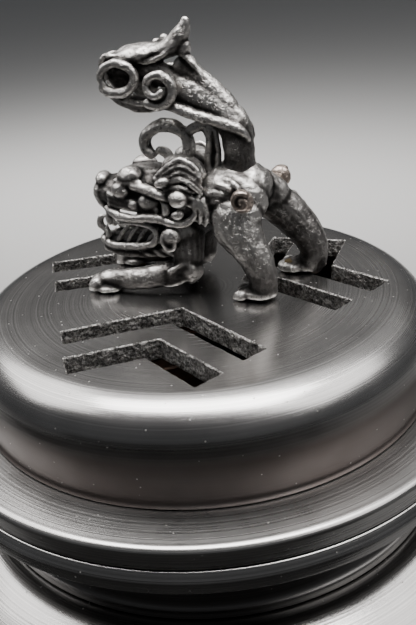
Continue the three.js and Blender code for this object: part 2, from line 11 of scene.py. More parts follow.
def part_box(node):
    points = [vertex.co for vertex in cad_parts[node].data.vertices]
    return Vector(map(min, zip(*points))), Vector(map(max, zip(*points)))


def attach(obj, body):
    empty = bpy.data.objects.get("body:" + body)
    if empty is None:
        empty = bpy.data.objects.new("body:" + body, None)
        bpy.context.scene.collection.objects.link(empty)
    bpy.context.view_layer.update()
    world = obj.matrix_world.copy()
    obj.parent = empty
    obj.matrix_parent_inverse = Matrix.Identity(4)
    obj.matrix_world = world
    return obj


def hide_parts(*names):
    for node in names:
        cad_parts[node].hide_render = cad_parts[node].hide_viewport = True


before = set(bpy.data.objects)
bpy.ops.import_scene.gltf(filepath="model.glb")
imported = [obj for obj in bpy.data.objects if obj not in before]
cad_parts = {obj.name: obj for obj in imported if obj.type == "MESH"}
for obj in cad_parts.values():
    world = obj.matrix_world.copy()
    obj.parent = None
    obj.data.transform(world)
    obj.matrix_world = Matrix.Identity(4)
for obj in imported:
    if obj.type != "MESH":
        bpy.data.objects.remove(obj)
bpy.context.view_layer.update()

bl_info = {
    "name": "Lion-handled incense burner",
    "version": (1, 0, 0),
    "blender": (4, 5, 0),
    "location": "View3D > Sidebar > Burner",
    "description": "Builds the turned bowl, pierced lid and cast lion of an incense burner",
    "category": "Object",
}

MM = 0.001
POLE = 1e-7     # a radius below this is the axis
SHARP = 32      # degrees between faces that keep an edge on turned pieces

# The lid's own walls, which several pieces meet.
DOME_WALL = 3.5 * MM
DOME_TURN = 7.2 * MM
BEZEL_WALL = 2.6 * MM

# The lion is laid out in its own units, with X along it and Z up from the lid.
LID_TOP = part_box("lid_dome")[1].z
LION_UNITS_TALL = 45.47
LION_UNIT = (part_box("lion_tail")[1].z - LID_TOP) / LION_UNITS_TALL
MIDLINE = 3.6


# ---------------------------------------------------------------------------
# Sizes and finishes that a user would change
# ---------------------------------------------------------------------------

class BurnerTurning(bpy.types.PropertyGroup):
    """Turned pieces."""
    sides: IntProperty(name="Sides", description="Facets round a turned piece", default=256, min=24)
    metal: FloatVectorProperty(
        name="Metal", description="Colour of the turned metal", subtype="COLOR",
        default=(0.40, 0.392, 0.386), min=0, max=1,
    )
    # Colour of the neck: the pewter painted darker, as painted shade under the overhang of the rim.
    shaded_neck_metal: FloatVectorProperty(
        name="Dark metal", description="Colour of the metal in the neck", subtype="COLOR",
        default=(0.16, 0.155, 0.152), min=0, max=1,
    )
    roughness: FloatProperty(
        name="Roughness", description="Roughness of the turned metal", default=0.17, min=0, max=1,
    )
    line_pitch: FloatProperty(
        name="Line pitch", description="Distance between turning lines", default=0.00032, unit="LENGTH",
    )


class BurnerVents(bpy.types.PropertyGroup):
    """Vents that pierce the lid."""
    half_angle: FloatProperty(
        name="Half angle", description="Each arm to the line through the point of a vent",
        default=math.radians(57.1), subtype="ANGLE",
    )
    inner_apex: FloatProperty(name="Inner apex", description="Axis to the inner vent's point",
                              default=8.2 * MM, unit="LENGTH")
    inner_width: FloatProperty(name="Inner width", description="Width of the inner vent's arms",
                               default=4.55 * MM, unit="LENGTH")
    inner_margin: FloatProperty(name="Inner margin", description="Inner vent to the edge of the flat top",
                                default=6.2 * MM, unit="LENGTH")
    outer_apex: FloatProperty(name="Outer apex", description="Axis to the outer vent's point",
                              default=19.1 * MM, unit="LENGTH")
    outer_width: FloatProperty(name="Outer width", description="Width of the outer vent's arms",
                               default=5.0 * MM, unit="LENGTH")
    outer_margin: FloatProperty(name="Outer margin", description="Outer vent to the edge of the flat top",
                                default=0.6 * MM, unit="LENGTH")
    raggedness: FloatProperty(name="Raggedness", description="Depth of the as-cast grain of the cut walls",
                              default=0.24 * MM, unit="LENGTH")


class BurnerCasting(bpy.types.PropertyGroup):
    """Cast lion."""
    grain: FloatProperty(
        name="Grain", description="Finest step that the casting keeps", default=0.26 * MM, unit="LENGTH",
    )
    fine_grain: FloatProperty(
        name="Fine grain", description="The same on the head", default=0.2 * MM, unit="LENGTH",
    )
    recess: FloatVectorProperty(
        name="Recess", description="Colour of the blackened recesses", subtype="COLOR",
        default=(0.017, 0.0162, 0.0158), min=0, max=1,
    )
    ridge: FloatVectorProperty(
        name="Ridge", description="Colour of the rubbed ridges", subtype="COLOR",
        default=(0.56, 0.54, 0.52), min=0, max=1,
    )
    warm: FloatVectorProperty(
        name="Warm tint", description="Brown tint of the half-rubbed metal", subtype="COLOR",
        default=(0.084, 0.078, 0.0745), min=0, max=1,
    )


class BurnerStudio(bpy.types.PropertyGroup):
    """Camera and light."""
    floor: FloatVectorProperty(
        name="Floor", description="Colour of the floor", subtype="COLOR",
        default=(0.62, 0.615, 0.61), min=0, max=1,
    )
    distance: FloatProperty(
        name="Distance", description="Camera to the middle of the dome's foot, in dome radii",
        default=3.65110,
    )
    azimuth: FloatProperty(name="Azimuth", description="Camera round the axis",
                           default=math.radians(20.506), subtype="ANGLE")
    elevation: FloatProperty(name="Elevation", description="Camera above the dome's foot",
                             default=math.radians(30.339), subtype="ANGLE")
    heading: FloatProperty(name="Heading", description="Direction of view, from +Y",
                           default=math.radians(19.852), subtype="ANGLE")
    tilt: FloatProperty(name="Tilt", description="Direction of view, below level",
                        default=math.radians(26.710), subtype="ANGLE")
    roll: FloatProperty(name="Roll", description="Camera turned about its own axis",
                        default=math.radians(-5.178), subtype="ANGLE")
    lens: FloatProperty(name="Lens", description="Focal length on a 36 mm sensor", default=46.08)


# ---------------------------------------------------------------------------
# Shader maths
# ---------------------------------------------------------------------------

class Wire:
    """A shader value that takes part in Python expressions."""

    def __init__(self, tree, socket):
        self.tree = tree
        self.socket = socket

    def node(self, kind, settings=None, **inputs):
        """A new node; an input is named by its label, or i0, i1 and so on by its place."""
        made = self.tree.nodes.new(kind)
        for name, value in (settings or {}).items():
            setattr(made, name, value)
        for name, value in inputs.items():
            by_place = name[0] == "i" and name[1:].isdigit()
            slot = made.inputs[int(name[1:]) if by_place else name.replace("_", " ")]
            connect(self.tree, slot, value)
        return made

    def maths(self, operation, *values):
        """One step of arithmetic."""
        made = self.tree.nodes.new("ShaderNodeMath")
        made.operation = operation
        for slot, value in zip(made.inputs, values):
            connect(self.tree, slot, value)
        return Wire(self.tree, made.outputs[0])

    def __add__(self, other):
        return self.maths("ADD", self, other)

    __radd__ = __add__

    def __mul__(self, other):
        return self.maths("MULTIPLY", self, other)

    __rmul__ = __mul__

    def __sub__(self, other):
        return self.maths("SUBTRACT", self, other)

    def __rsub__(self, other):
        return self.maths("SUBTRACT", other, self)

    def step(self, low, high):
        """0 below low, 1 above high, smooth between."""
        made = self.node("ShaderNodeMapRange", {"interpolation_type": "SMOOTHSTEP"},
                         Value=self, From_Min=low, From_Max=high)
        return Wire(self.tree, made.outputs[0])

    def mix(self, first, second):
        """first where this is 0, second where it is 1, as colours."""
        made = self.tree.nodes.new("ShaderNodeMix")
        made.data_type = "RGBA"
        connect(self.tree, made.inputs["Factor"], self)
        connect(self.tree, made.inputs[6], first)
        connect(self.tree, made.inputs[7], second)
        return Wire(self.tree, made.outputs[2])


def connect(tree, slot, value):
    """Links a wire to a socket, or sets a plain value on it."""
    if isinstance(value, Wire):
        tree.links.new(value.socket, slot)
    elif hasattr(value, "__len__") and slot.type == "RGBA" and len(value) == 3:
        slot.default_value = (*value, 1.0)
    else:
        slot.default_value = value


class Finish:
    """A material under construction, with a Principled shader and the piece's own coordinates."""

    def __init__(self, name):
        self.material = bpy.data.materials.new(name)
        self.material.use_nodes = True
        self.tree = self.material.node_tree
        self.shader = self.tree.nodes["Principled BSDF"]
        self.wire = Wire(self.tree, None)
        self.place = self.out(self.wire.node("ShaderNodeTexCoord"), "Object")

    def out(self, node, name):
        return Wire(self.tree, node.outputs[name])

    def attribute(self, name):
        made = self.wire.node("ShaderNodeAttribute", {"attribute_name": name})
        return self.out(made, "Fac")

    def stretched(self, x, y, z):
        """The piece's coordinates, scaled on each axis."""
        made = self.wire.node("ShaderNodeVectorMath", {"operation": "MULTIPLY"}, i0=self.place, i1=(x, y, z))
        return self.out(made, "Vector")

    def noise(self, scale, detail=2.0, vector=None, roughness=0.5):
        made = self.wire.node("ShaderNodeTexNoise", None, Vector=vector or self.place,
                              Scale=scale, Detail=detail, Roughness=roughness)
        return self.out(made, "Fac")

    def cells(self, scale, output="Distance"):
        """Scattered cells: the distance to each middle, or a colour by chance."""
        made = self.wire.node("ShaderNodeTexVoronoi", None, Vector=self.place, Scale=scale)
        return self.out(made, output)

    def line_noise(self, along, scale, detail=2.0):
        """Noise that changes only along one value, as turning lines do."""
        made = self.wire.node("ShaderNodeTexNoise", {"noise_dimensions": "1D"},
                              W=along, Scale=scale, Detail=detail)
        return self.out(made, "Fac")

    def bump(self, height, distance, strength=1.0):
        made = self.wire.node("ShaderNodeBump", None, Strength=strength, Distance=distance, Height=height)
        return self.out(made, "Normal")

    def set(self, **values):
        """Sets or links the shader's sockets and gives back the finished material."""
        for name, value in values.items():
            connect(self.tree, self.shader.inputs[name.replace("_", " ")], value)
        return self.material


DUST = (0.62, 0.60, 0.57)
# Tint of the painted dark reflection low on the dome's side.
REFLECTION_TINT = (0.25, 0.215, 0.205)


def turned_finish(name, colour, roughness, pitch, depth=1.0, dust=1.0):
    """Metal turned on a lathe: fine lines along the piece's outline, handling marks, dust, and a painted dark
    reflection where the piece stores one.
    """
    finish = Finish(name)
    along = finish.attribute("outline")
    fine = finish.line_noise(along, 1 / pitch, 3.0)
    coarse = finish.line_noise(along, 0.12 / pitch, 2.0)
    broken = finish.noise(60.0, 3.0)
    smear = finish.noise(22.0, 4.0, roughness=0.6)
    lines = fine * (0.55 + 0.45 * broken) + 0.5 * coarse
    scratch = finish.noise(900.0, 2.0, vector=finish.stretched(1.0, 1.0, 0.12))
    grit = finish.cells(820.0)
    seeds = finish.cells(820.0, output="Color")
    sparse = seeds.step(0.665, 0.70)
    speck = (1 - grit.step(0.06, 0.13)) * sparse * dust
    tone = (fine * 0.5 + smear * 0.7).step(0.35, 0.95)
    # Painted dark, reddish reflection low on the dome's side, where the piece stores one.
    reflection_amount = finish.attribute("painted_reflection") * (0.62 + 0.7 * smear)
    dark = tuple(0.68 * c for c in colour)
    bright = tuple(min(1.0, 1.25 * c) for c in colour)
    reflected_colour = tuple(c * share for c, share in zip(colour, REFLECTION_TINT))
    base = speck.mix(reflection_amount.mix(tone.mix(dark, bright), reflected_colour), DUST)
    rough = roughness + 0.18 * smear * smear + 0.12 * fine * broken + 0.4 * speck + 0.20 * reflection_amount
    normal = finish.bump(lines + 0.3 * scratch, 0.00003 * depth, 0.6)
    return finish.set(Base_Color=base, Metallic=1 - 0.9 * speck, Roughness=rough, Normal=normal)


def cast_finish(name, recess, ridge, warm):
    """Blackened casting, bright where hands and cloths rub it, with painted light on faces that look up,
    painted shade in broad hollows, and darker towards the lid.
    """
    finish = Finish(name)
    # Read here: rubbing on ridges, with painted light on faces that look up, painted shade in broad hollows,
    # and darker towards the lid. The bright and half-bright shares below carry all of these.
    rubbed_and_lit = finish.attribute("rubbed_and_lit")
    punched = finish.attribute("punched")
    mottle = finish.noise(420.0, 4.0, roughness=0.65)
    grain = finish.noise(2600.0, 3.0, roughness=0.7)
    pits = finish.cells(1900.0)
    worked = rubbed_and_lit + 0.20 * punched
    wear_and_light = (worked + 0.20 * (mottle - 0.5) + 0.16 * (grain - 0.5)).step(0.50, 0.98)
    half = (worked + 0.12 * (mottle - 0.5) + 0.10 * (grain - 0.5)).step(0.20, 0.66)
    pitting = finish.noise(1300.0, 3.0, roughness=0.75).step(0.50, 0.66)
    wear_and_light = wear_and_light * (1 - 0.62 * pitting)
    half = half * (1 - 0.5 * pitting)
    base = wear_and_light.mix(half.mix(recess, warm), tuple(ridge))
    rough = 0.42 - 0.10 * wear_and_light + 0.12 * (mottle - 0.5) + 0.12 * pitting
    stipple = (1 - pits.step(0.15, 0.55)) * punched
    height = mottle * 0.6 + grain * 0.3 - stipple * 0.10 - pitting * 0.30
    normal = finish.bump(height, 0.00024, 1.0)
    return finish.set(Base_Color=base, Metallic=0.92, Roughness=rough, Normal=normal)


def broken_finish(name):
    """The granular walls of the vents, as they left the mould."""
    finish = Finish(name)
    grain = finish.noise(2300.0, 5.0, roughness=0.75)
    lumps = finish.cells(1500.0)
    glint = (grain + 0.3 * finish.noise(700.0, 2.0)).step(0.52, 0.84)
    base = glint.mix((0.052, 0.050, 0.048), (0.60, 0.58, 0.56))
    normal = finish.bump(grain + 0.6 * lumps, 0.00030, 1.0)
    return finish.set(Base_Color=base, Metallic=0.85, Roughness=0.62 - 0.25 * glint, Normal=normal)


def sheet_finish(name, colour, tarnish, roughness):
    """Spun or turned sheet that has dulled unevenly."""
    finish = Finish(name)
    along = finish.attribute("outline")
    lines = finish.line_noise(along, 3800.0, 2.0)
    cloud = finish.noise(38.0, 4.0, roughness=0.6)
    soot = finish.noise(240.0, 3.0)
    age = (cloud + 0.25 * soot).step(0.36, 0.72)
    base = age.mix(colour, tarnish)
    normal = finish.bump(lines + 0.4 * soot, 0.00004, 0.5)
    return finish.set(Base_Color=base, Metallic=1.0, Roughness=roughness + 0.25 * age, Normal=normal)


def floor_finish(name, colour):
    """Pale matt board."""
    finish = Finish(name)
    grain = finish.noise(900.0, 3.0)
    shade = tuple(0.94 * c for c in colour)
    normal = finish.bump(grain, 0.00005, 0.3)
    return finish.set(Base_Color=grain.mix(shade, colour), Roughness=0.7, Normal=normal)


# ---------------------------------------------------------------------------
# Mesh making
# ---------------------------------------------------------------------------

def working_object(name, mesh):
    """An object that holds a mesh in the scene."""
    obj = bpy.data.objects.new(name, mesh)
    bpy.context.scene.collection.objects.link(obj)
    return obj


def new_piece(name, mesh, body, slot, nodes):
    """A finished piece that moves with its body and stands in for the CAD nodes."""
    piece = working_object(name, mesh)
    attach(piece, body)
    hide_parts(*nodes)


def smooth(mesh, sharp):
    """Smooth shading, with edges kept above an angle in degrees."""
    mesh.polygons.foreach_set("use_smooth", [True] * len(mesh.polygons))
    mesh.set_sharp_from_angle(angle=math.radians(sharp))


def store(mesh, name, values):
    """A value for each point, for the finishes to read."""
    mesh.attributes.new(name, "FLOAT", "POINT").data.foreach_set("value", values)


def read_spots(mesh):
    spots = np.empty(len(mesh.vertices) * 3)
    mesh.vertices.foreach_get("co", spots)
    return spots.reshape(-1, 3)


def read_normals(mesh):
    normals = np.empty(len(mesh.vertices) * 3, np.float32)
    mesh.vertex_normals.foreach_get("vector", normals)
    return normals.reshape(-1, 3)


def rounded(corners, steps=5):
    """An outline in (radius, height, fillet) corners, with each corner rounded by its fillet."""
    points = []
    count = len(corners)
    for i, (r, z, fillet) in enumerate(corners):
        here = Vector((r, z))
        if fillet <= 0:
            points.append((r, z))
            continue
        back = (Vector(corners[i - 1][:2]) - here).normalized()
        ahead = (Vector(corners[(i + 1) % count][:2]) - here).normalized()
        start, end = here + back * fillet, here + ahead * fillet
        for k in range(steps + 1):
            t = k / steps
            spot = start * (1 - t) ** 2 + here * 2 * t * (1 - t) + end * t ** 2
            points.append((spot.x, spot.y))
    return points


def sweep(p0, p1, p2, p3, steps=24):
    """Points along a Bezier curve, without its first."""
    out = []
    for k in range(1, steps + 1):
        t = k / steps
        weights = ((1 - t) ** 3, 3 * t * (1 - t) ** 2, 3 * t * t * (1 - t), t ** 3)
        out.append(tuple(sum(w * p[i] for w, p in zip(weights, (p0, p1, p2, p3))) for i in (0, 1)))
    return out


def arc(centre, radius, start, end, steps):
    """Points on an arc between two angles in degrees."""
    angles = [math.radians(start + (end - start) * k / steps) for k in range(steps + 1)]
    return [(centre[0] + radius * math.cos(a), centre[1] + radius * math.sin(a)) for a in angles]


def revolve(name, outline, sides, centre=(0.0, 0.0)):
    """A solid of revolution. The outline runs anticlockwise; points on the axis become poles."""
    spots, faces, along, rings = [], [], [], []
    travelled = 0.0
    previous = outline[0]
    for r, z in outline:
        travelled += math.hypot(r - previous[0], z - previous[1])
        previous = (r, z)
        around = 1 if r < POLE else sides
        first = len(spots)
        for k in range(around):
            angle = 2 * math.pi * k / sides
            spots.append((centre[0] + r * math.cos(angle), centre[1] + r * math.sin(angle), z))
            along.append(travelled)
        rings.append(list(range(first, first + around)))
    for low, high in zip(rings, rings[1:] + rings[:1]):
        if len(low) == 1 and len(high) == 1:
            continue
        for k in range(sides):
            n = (k + 1) % sides
            if len(low) == 1:
                faces.append((low[0], high[n], high[k]))
            elif len(high) == 1:
                faces.append((low[k], low[n], high[0]))
            else:
                faces.append((low[k], low[n], high[n], high[k]))
    mesh = bpy.data.meshes.new(name)
    mesh.from_pydata(spots, [], faces)
    store(mesh, "outline", along)
    smooth(mesh, SHARP)
    mesh.update()
    return mesh


def finished(obj, name):
    """The evaluated shape of an object as a plain mesh; the working object is removed."""
    graph = bpy.context.evaluated_depsgraph_get()
    mesh = bpy.data.meshes.new_from_object(obj.evaluated_get(graph), depsgraph=graph)
    mesh.name = name
    old = obj.data
    bpy.data.objects.remove(obj)
    bpy.data.meshes.remove(old)
    return mesh


class Clay:
    """Lumps and bars that are pressed together into one casting. Places are in lion units."""

    def __init__(self):
        self.spots = []
        self.faces = []

    def add(self, spots, faces):
        first = len(self.spots)
        self.spots.extend(tuple(s) for s in spots)
        self.faces.extend(tuple(first + i for i in face) for face in faces)

    def ball(self, centre, radii, turn=0.0, across=20, down=12):
        """An ellipsoid, turned about Y by an angle in degrees."""
        if not hasattr(radii, "__len__"):
            radii = (radii,) * 3
        tilt = Matrix.Rotation(math.radians(turn), 3, "Y")
        spots = [Vector((0, 0, radii[2]))]
        for j in range(1, down):
            polar = math.pi * j / down
            for k in range(across):
                angle = 2 * math.pi * k / across
                spots.append(Vector((radii[0] * math.sin(polar) * math.cos(angle),
                                     radii[1] * math.sin(polar) * math.sin(angle),
                                     radii[2] * math.cos(polar))))
        spots.append(Vector((0, 0, -radii[2])))
        faces = []
        for k in range(across):
            n = (k + 1) % across
            faces.append((0, 1 + k, 1 + n))
            faces.append((len(spots) - 1, 1 + (down - 2) * across + n, 1 + (down - 2) * across + k))
            for j in range(down - 2):
                a, b = 1 + j * across, 1 + (j + 1) * across
                faces.append((a + k, b + k, b + n, a + n))
        self.add([tilt @ s + Vector(centre) for s in spots], faces)

    def bar(self, places, sides=14, steps=5):
        """A bar through [x, y, z, radius] places, or [x, y, z, half width, half thickness in Y]."""
        places = [tuple(p) if len(p) == 5 else (*p, p[3]) for p in places]
        knots = np.array([places[0], *places, places[-1]], float)
        rows = []
        for i in range(len(places) - 1):
            p = knots[i:i + 4]
            for k in range(steps + (i == len(places) - 2)):
                t = k / steps
                rows.append(0.5 * (2 * p[1] + (p[2] - p[0]) * t
                                   + (2 * p[0] - 5 * p[1] + 4 * p[2] - p[3]) * t * t
                                   + (3 * p[1] - p[0] - 3 * p[2] + p[3]) * t ** 3))
        rows = np.array(rows)
        rows[:, 3:] = np.maximum(rows[:, 3:], 0.05)
        capped = []
        for end, way in ((rows[0], rows[0, :3] - rows[1, :3]), (rows[-1], rows[-1, :3] - rows[-2, :3])):
            way = way / (np.linalg.norm(way) + 1e-9)
            reach = min(end[3], end[4])
            cap = []
            for angle in (30, 60, 82):
                a = math.radians(angle)
                row = end.copy()
                row[:3] += way * reach * math.sin(a)
                row[3:] *= math.cos(a)
                cap.append(row)
            capped.append(cap)
        rows = np.array([*capped[0][::-1], *rows, *capped[1]])
        spots, faces = [], []
        for i, row in enumerate(rows):
            ahead = rows[min(i + 1, len(rows) - 1), :3] - rows[max(i - 1, 0), :3]
            ahead = Vector(ahead).normalized()
            sideways = Vector((0, 1, 0)) if abs(ahead.y) < 0.9 else Vector((0, 0, 1))
            sideways = (sideways - ahead * ahead.dot(sideways)).normalized()
            wide = sideways.cross(ahead)
            for k in range(sides):
                a = 2 * math.pi * k / sides
                spots.append(Vector(row[:3]) + wide * row[3] * math.cos(a) + sideways * row[4] * math.sin(a))
        for i in range(len(rows) - 1):
            for k in range(sides):
                n = (k + 1) % sides
                a, b = i * sides, (i + 1) * sides
                faces.append((a + k, b + k, b + n, a + n))
        faces.append(tuple(range(sides)))
        last = (len(rows) - 1) * sides
        faces.append(tuple(last + k for k in reversed(range(sides))))
        self.add(spots, faces)

    def scroll(self, centre, radii, start, turns, thickness, rise=0.8, side=-1, knob=True,
               tighten=0.68):
        """A curl that winds inward in the X-Z plane and rises toward the viewer's side of it."""
        count = max(8, round(turns * 12))
        places = []
        for i in range(count + 1):
            share = i / count
            angle = math.radians(start) + turns * 2 * math.pi * share
            close = 1 - tighten * share
            places.append((centre[0] + radii[0] * close * math.cos(angle),
                           centre[1] + side * rise * share,
                           centre[2] + radii[1] * close * math.sin(angle),
                           thickness * (1 - 0.35 * share)))
        self.bar(places, sides=10, steps=2)
        if knob:
            self.ball((centre[0], centre[1] + side * rise * 0.8, centre[2]), thickness * 0.9)

    def lengthen(self, start, share):
        """Stretches what lies forward of a place by a share of its distance from it."""
        self.spots = [(x + share * min(0.0, x - start), y, z) for x, y, z in self.spots]

    def both_sides(self, shape):
        """Runs shape(side) for the near side and its mirror image about the lion's middle plane."""
        for side in (-1, 1):
            shape(side)


def neighbour_average(values, edges, degree):
    """Each point's value replaced by the mean of its neighbours'."""
    total = np.zeros_like(values)
    for c in range(values.shape[1]):
        total[:, c] = (np.bincount(edges[:, 0], values[edges[:, 1], c], len(values))
                       + np.bincount(edges[:, 1], values[edges[:, 0], c], len(values)))
    return total / degree[:, None]


def read_edges(mesh):
    """The edges, and how many meet at each point."""
    edges = np.empty(len(mesh.edges) * 2, np.int32)
    mesh.edges.foreach_get("vertices", edges)
    edges = edges.reshape(-1, 2)
    degree = np.bincount(edges.ravel(), minlength=len(mesh.vertices)).astype(float)
    return edges, np.maximum(degree, 1)


def mark_rubbing_and_light(mesh):
    """Stores how far each point stands out of its surroundings, 0 in a recess to 1 on a ridge, with painted
    shade in broad hollows, painted light on faces that look up, and less towards the lid.
    """
    spots, normals = read_spots(mesh), read_normals(mesh)
    edges, degree = read_edges(mesh)
    soft = spots.copy()
    proud = np.zeros(len(spots))
    done = 0
    # Fine scale: rubbing on ridges. Broad scale: painted shade in wide hollows.
    for rounds, height, weight in ((6, 0.12, 1.7), (60, 0.5, 1.0)):
        for _ in range(done, rounds):
            soft = neighbour_average(soft, edges, degree)
        done = rounds
        proud += weight * ((spots - soft) * normals).sum(1) / (height * LION_UNIT)
    # Painted light: faces that look up are lighter. Points low on the lion, near the lid, are darker.
    up = 0.16 * normals[:, 2]
    lift = 0.24 * (np.clip((spots[:, 2] - LID_TOP) / (16 * LION_UNIT), 0, 1) - 1)
    rubbed_and_lit = np.clip(0.43 + 0.36 * proud + up + lift, 0, 1)
    store(mesh, "rubbed_and_lit", neighbour_average(rubbed_and_lit[:, None], edges, degree)[:, 0])


def mirrored(y, side):
    """A Y place on the near side, or its mirror image for the far side."""
    return y if side < 0 else 2 * MIDLINE - y


def roughen(mesh):
    """Gives a smooth skin the small lumps of a hand-worked wax."""
    spots = read_spots(mesh)
    lumps = np.array([noise.noise(Vector(spot) * 650) * 0.15 + noise.noise(Vector(spot) * 1500) * 0.07
                      for spot in spots])
    spots = spots + read_normals(mesh) * (lumps * MM)[:, None]
    mesh.vertices.foreach_set("co", spots.ravel())
    mesh.update()


def cast(clay, name, grain, punched=None):
    """Presses the clay into one skin, softens it and marks its rubbing, painted light and painted shade."""
    mesh = bpy.data.meshes.new(name + "_clay")
    mesh.from_pydata(clay.spots, [], clay.faces)
    obj = working_object(name + "_clay", mesh)
    press = obj.modifiers.new("press", "REMESH")
    press.mode = "VOXEL"
    press.voxel_size = grain / LION_UNIT
    press.use_smooth_shade = True
    soften = obj.modifiers.new("soften", "SMOOTH")
    soften.factor = 0.5
    soften.iterations = 4
    skin = finished(obj, name)
    skin.transform(Matrix.Translation((0, 0, LID_TOP)) @ Matrix.Scale(LION_UNIT, 4))
    skin.update()
    mark_rubbing_and_light(skin)
    roughen(skin)
    spots = (read_spots(skin) - (0, 0, LID_TOP)) / LION_UNIT
    store(skin, "punched", punched(spots) if punched else np.zeros(len(spots)))
    return skin


def fade(distance, inside, outside):
    """1 where distance is below inside, 0 above outside."""
    return np.clip((outside - distance) / (outside - inside), 0, 1)


# ---------------------------------------------------------------------------
# Lion
# ---------------------------------------------------------------------------

def lion_body_clay():
    """Rump, legs, paws and chest."""
    clay = Clay()
    m = MIDLINE
    clay.bar([(9.4, m, 17.6, 4.2, 4.6), (6.0, m, 16.8, 4.6, 5.0), (2.0, m, 14.6, 4.4, 4.8),
              (-2.2, m, 12.0, 4.4, 4.8)], sides=20)
    clay.ball((8.2, m, 18.6), (3.4, 3.5, 3.0))
    # Near haunch and leg.
    clay.ball((7.3, 1.0, 16.3), (6.2, 3.5, 4.8), turn=10)
    clay.ball((6.4, 2.6, 18.9), (4.6, 3.6, 2.8), turn=-6)
    clay.ball((4.6, 1.5, 15.6), (4.4, 3.2, 4.4), turn=-20)
    # Carved ridges that fan out from the hip.
    for k in range(6):
        angle = math.radians(84 + 30 * k)
        clay.bar([(9.0 + 3.0 * math.cos(angle), -2.0, 16.6 + 2.6 * math.sin(angle), 0.5),
                  (8.2 + 4.6 * math.cos(angle + 0.12), -1.4, 16.2 + 3.8 * math.sin(angle + 0.12), 0.5),
                  (7.8 + 5.6 * math.cos(angle + 0.3), -0.5, 16.0 + 4.4 * math.sin(angle + 0.3), 0.3)])
    clay.bar([(8.2, -0.6, 14.6, 4.4, 3.2), (8.6, -1.2, 12.2, 4.4, 3.2), (10.2, -2.0, 9.6, 3.4, 3.0),
              (11.9, -2.4, 6.8, 2.8, 2.6), (12.8, -2.5, 4.2, 2.5, 2.4),
              (12.8, -2.5, 1.9, 2.5, 2.4)], sides=18)
    clay.ball((12.0, -2.6, 1.2), (3.3, 2.6, 1.3))
    for y in (-4.2, -2.7, -1.2):
        clay.ball((9.2, y, 0.95), (1.25, 0.85, 0.95))
        clay.ball((8.3, y, 0.6), (0.6, 0.5, 0.6))
    # Far haunch and leg.
    clay.ball((10.4, 6.6, 16.2), (4.0, 3.2, 3.4), turn=30)
    clay.bar([(8.8, 5.0, 19.2, 2.2), (10.8, 6.6, 17.0, 2.9), (12.4, 8.2, 14.6, 3.3)], sides=16)
    clay.bar([(11.4, 8.0, 14.2, 3.4), (13.8, 9.2, 12.0, 3.5), (16.2, 9.9, 9.2, 3.2),
              (18.2, 10.0, 6.4, 2.8), (19.1, 10.0, 3.8, 2.5), (18.6, 10.0, 1.8, 2.5)], sides=18)
    clay.ball((17.4, 10.0, 1.2), (3.6, 2.6, 1.4))
    for y in (8.4, 9.9, 11.4):
        clay.ball((14.3, y, 1.0), (1.3, 0.85, 1.0))
    clay.bar([(15.6, 10.2, 14.6, 0.5), (18.2, 10.2, 11.0, 0.7), (20.1, 10.2, 7.6, 0.8),
              (20.9, 10.1, 4.2, 0.7), (20.7, 10.0, 1.4, 0.6)])
    clay.ball((15.2, 9.3, 1.0), (2.7, 2.4, 1.1))
    # Shoulders, forelegs and paws.
    for side, elbow_y, fore_y in ((-1, -0.6, -2.9), (1, 7.8, 9.4)):
        shoulder_y = mirrored(0.6, side)
        clay.ball((-1.6, shoulder_y, 10.2), (3.4, 3.2, 3.8))
        clay.bar([(-1.2, shoulder_y, 9.6, 3.1), (-0.9, elbow_y, 6.0, 2.7),
                  (-1.4, elbow_y - 0.2, 3.6, 2.4)], sides=16)
        clay.bar([(-1.0, elbow_y, 3.7, 2.4), (-4.4, (elbow_y + fore_y) / 2, 3.2, 2.3),
                  (-8.4, fore_y, 2.7, 2.1), (-12.4, fore_y, 2.2, 1.85),
                  (-15.8, fore_y, 1.9, 1.75)], sides=16)
        clay.ball((-16.9, fore_y, 1.5), (2.2, 2.2, 1.5))
        clay.ball((-15.4, fore_y - 0.3, 0.8), (2.8, 2.4, 0.9))
        for toe in (-1.5, 0.0, 1.5):
            clay.ball((-17.7, fore_y + toe, 1.3), (1.2, 0.85, 1.3))
            clay.ball((-18.6, fore_y + toe, 0.65), (0.5, 0.4, 0.55))
    # Leaf of hair on the near elbow.
    clay.ball((-0.8, -1.3, 4.1), (2.6, 2.3, 2.7))
    for k in range(4):
        clay.bar([(-5.4 + 0.5 * k, -3.5, 1.7 + 0.5 * k, 0.35), (-3.2, -3.4, 2.0 + 0.8 * k, 0.6),
                  (-0.9, -3.1, 2.8 + 0.95 * k, 0.4)])
    clay.bar([(-0.6, -2.6, 5.8, 0.8), (0.5, -2.4, 4.6, 0.8), (0.9, -1.8, 3.0, 0.5)])
    # Chest and the locks that hang between shoulder and haunch.
    clay.ball((-3.0, m, 8.4), (3.0, 4.4, 4.4))
    for i in range(3):
        clay.bar([(1.0 + 1.0 * i, -1.9, 17.6 - 0.3 * i, 0.45), (1.8 + 1.0 * i, -2.2, 15.6 - 0.5 * i, 0.5),
                  (1.4 + 0.9 * i, -2.1, 13.4 - 0.5 * i, 0.35)])
    # Knobs along the spine.
    for i in range(4):
        clay.ball((1.0 + 1.5 * i, m, 19.0 + 0.75 * i), (0.9, 0.9, 0.8))
    return clay


def haunch_mask(spots):
    """Where the haunches and the backs of the legs are punched."""
    near = np.sqrt(((spots[:, 0] - 7.6) / 6.2) ** 2 + ((spots[:, 2] - 16.6) / 6.6) ** 2)
    leg = np.abs(spots[:, 0] - (8.0 + 0.42 * (17 - spots[:, 2]))) / 4.0
    outer = np.clip((1.0 - spots[:, 1]) / 2.0, 0, 1) + np.clip((spots[:, 1] - 8.0) / 2.0, 0, 1)
    high = np.clip((spots[:, 2] - 5.0) / 3.0, 0, 1)
    return np.clip(np.maximum(fade(near, 0.8, 1.1), 0.7 * fade(leg, 0.7, 1.1)) * outer * high, 0, 1)


